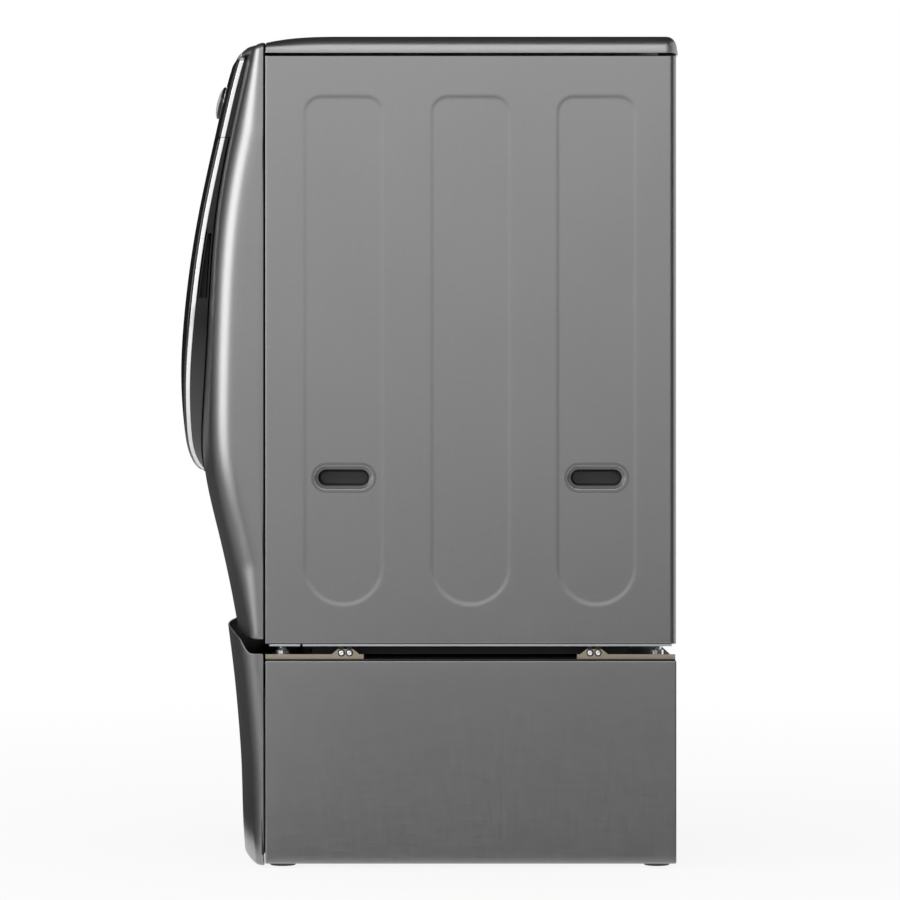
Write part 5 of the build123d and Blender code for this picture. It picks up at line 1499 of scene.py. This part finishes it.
# %% [markdown]
# Two coil springs carry the tub. A small circle is carried along a helix, which climbs evenly.

# %% Springs
SPRING_TOP = np.array((275.0, 90.0, 1334.0))
SPRING_BOTTOM = np.array((243.0, 90.0, 1196.0))
COILS = 13
WIRE = 2.4
COIL_RADIUS = 12.4


def coil():
    """Helix about the spring's axis with a round wire; the wire's section turns with the coil."""
    way = SPRING_TOP - SPRING_BOTTOM
    length = np.linalg.norm(way)
    way = way / length
    side = np.array((0.0, 1.0, 0.0))
    front = np.cross(side, way)
    turn = np.linspace(0.0, 2 * np.pi * COILS, COILS * 20)[:, None]
    climb = np.linspace(WIRE, length - WIRE, len(turn))[:, None]
    radial = np.cos(turn) * side + np.sin(turn) * front
    path = SPRING_BOTTOM + climb * way + COIL_RADIUS * radial
    bead = np.linspace(0.0, 2 * np.pi, 8, endpoint=False)
    ring = WIRE * (np.cos(bead)[None, :, None] * radial[:, None] + np.sin(bead)[None, :, None] * way)
    return capped(path[:, None] + ring)


piece("tub_spring_coils", both_sides(coil()), "cabinet", "spring_steel", ("tub_springs",), crease=60)

# %% [markdown]
# A pale floor and a white surround make the picture's white ground. Both are white for the camera and for
# reflections, and the floor keeps a part of its paint, so that a soft shadow stays. Polished metal shows what
# is round it, so the studio is built like a photographer's: a tall soft light beyond the front corner draws
# the long highlight there, a wide one above the camera lights the side, and dark cards that only reflections
# see give the glass, the rounds and the lower part of the panels something dark to show. The two cards on the
# floor work like a lit panel behind a louvre: bright from above, dark at a shallow angle.

# %% Studio
def floor_paint(colour, glow, reach):
    """Matt paint of which a share glows white wherever it is seen, and all of it from a distance on."""
    paint = Finish("floor paint", {"Base Color": colour, "Roughness": 0.9, "Specular IOR Level": 0.0})
    white = paint.add("Emission", {}, {"Strength": 1.0})
    away = paint.add("VectorMath", {"operation": "LENGTH"}, {0: paint.place((1 / reach,) * 3)}, "Value")
    share = away.math("MINIMUM", away, 1.0) * (1 - glow) + glow
    mixed = paint.add("MixShader", {}, {0: paint.seen() * share, 1: Shade(paint.shader.outputs[0]), 2: white})
    connect(paint.tree, paint.tree.nodes["Material Output"].inputs["Surface"], mixed)
    return paint.material


def card_paint(name, level):
    """Plain matt paint of one grey level."""
    grey = (level, level, level, 1.0)
    return Finish(name, {"Base Color": grey, "Roughness": 1.0, "Specular IOR Level": 0.0})


def louvred(paint, strength, shallow, steep):
    """Let a card shine when seen from above and fade out between a steep and a shallow slant."""
    slant = paint.add("LayerWeight", {}, {"Blend": 0.5}, "Facing")
    colour = paint.mix(paint.ramp(slant, shallow, steep), (0.0, 0.0, 0.0, 1.0), (1.0, 1.0, 1.0, 1.0))
    paint.feed({"Emission Strength": strength, "Emission Color": colour})
    return paint.material


def stage_sheet(name, corners, material):
    """Flat sheet of the studio, in metres."""
    mesh = bpy.data.meshes.new(name)
    mesh.from_pydata(corners, [], [range(len(corners))])
    mesh.materials.append(material)
    thing = bpy.data.objects.new(name, mesh)
    bpy.context.scene.collection.objects.link(thing)
    return thing


def card(name, corners, material):
    """Sheet that only reflections see: hidden from the camera and from the light that falls on things."""
    thing = stage_sheet(name, corners, material)
    thing.visible_camera = False
    thing.visible_diffuse = False
    thing.visible_transmission = False
    thing.visible_shadow = False


def standing_card(name, start, end, high, material):
    """Upright card on the floor between two places."""
    card(name, [(*start, 0.0), (*end, 0.0), (*end, high), (*start, high)], material)


def level_card(name, corners, height, material):
    """Level card at a height, over corners on the floor."""
    card(name, [(*corner, height) for corner in corners], material)


FLOOR_REACH = 30.0
CARD_HEIGHT = 3.4
FLOOR_CARD_LIFT = 0.004
floor_corners = [(*corner, 0.0) for corner in block(-FLOOR_REACH, FLOOR_REACH, -FLOOR_REACH, FLOOR_REACH)]
stage_sheet("floor", floor_corners, floor_paint((0.82, 0.82, 0.82, 1.0), glow=0.86, reach=3.5))
dark_card = card_paint("dark card", 0.02).material
grey_card = card_paint("grey card", 0.3).material
standing_card("front_card", (-0.9, -3.3), (-4.0, -2.5), CARD_HEIGHT, dark_card)
standing_card("far_front_card", (-4.0, -2.5), (-10.0, -0.75), 6.5, dark_card)
standing_card("grey_front_card", (0.35, -3.4), (-0.9, -3.3), CARD_HEIGHT, grey_card)
standing_card("rear_card", (5.2, 2.0), (1.2, 4.2), 3.0, dark_card)
level_card("top_card", block(-22.0, 4.3, -4.5, 3.5), 3.8, dark_card)
louvred_card = louvred(card_paint("louvred card", 0.02), strength=0.85, shallow=0.76, steep=0.58)
side_floor = [(0.42, -0.36), (12.0, -1.15), (12.0, 4.0), (0.42, 4.0)]
front_floor = [(-12.0, -9.0), (12.0, -9.0), (12.0, -1.6), (0.42, -0.52), (0.3, -0.4), (-12.0, -0.4)]
level_card("floor_card", side_floor, FLOOR_CARD_LIFT, louvred_card)
level_card("front_floor_card", front_floor, FLOOR_CARD_LIFT, louvred_card)


def soft_light(name, place, target, width, height, power):
    """Rectangular lamp at a place, turned towards a target and hidden from the camera."""
    lamp = bpy.data.lights.new(name, "AREA")
    lamp.shape = "RECTANGLE"
    lamp.size = width
    lamp.size_y = height
    lamp.energy = power
    thing = bpy.data.objects.new(name, lamp)
    thing.location = place
    way = np.array(target) - np.array(place)
    flat = math.hypot(way[0], way[1])
    thing.rotation_euler = (math.atan2(flat, -way[2]), 0.0, math.atan2(way[1], way[0]) - math.pi / 2)
    thing.visible_camera = False
    bpy.context.scene.collection.objects.link(thing)


soft_light("corner_light", (1.9, -2.9, 1.6), (0.2, -0.3, 0.9), width=1.9, height=2.6, power=46.0)
soft_light("side_light", (4.9, -0.4, 3.65), (0.3, 0.0, 1.1), width=5.0, height=0.95, power=42.0)

SHADE_LEVEL = 0.62
world = bpy.data.worlds.new("surround")
bpy.context.scene.world = world
surround = Nodes(world, "Background")
strength = surround.seen() * (1.0 - SHADE_LEVEL) + SHADE_LEVEL
surround.feed({"Color": (1.0, 1.0, 1.0, 1.0), "Strength": strength})
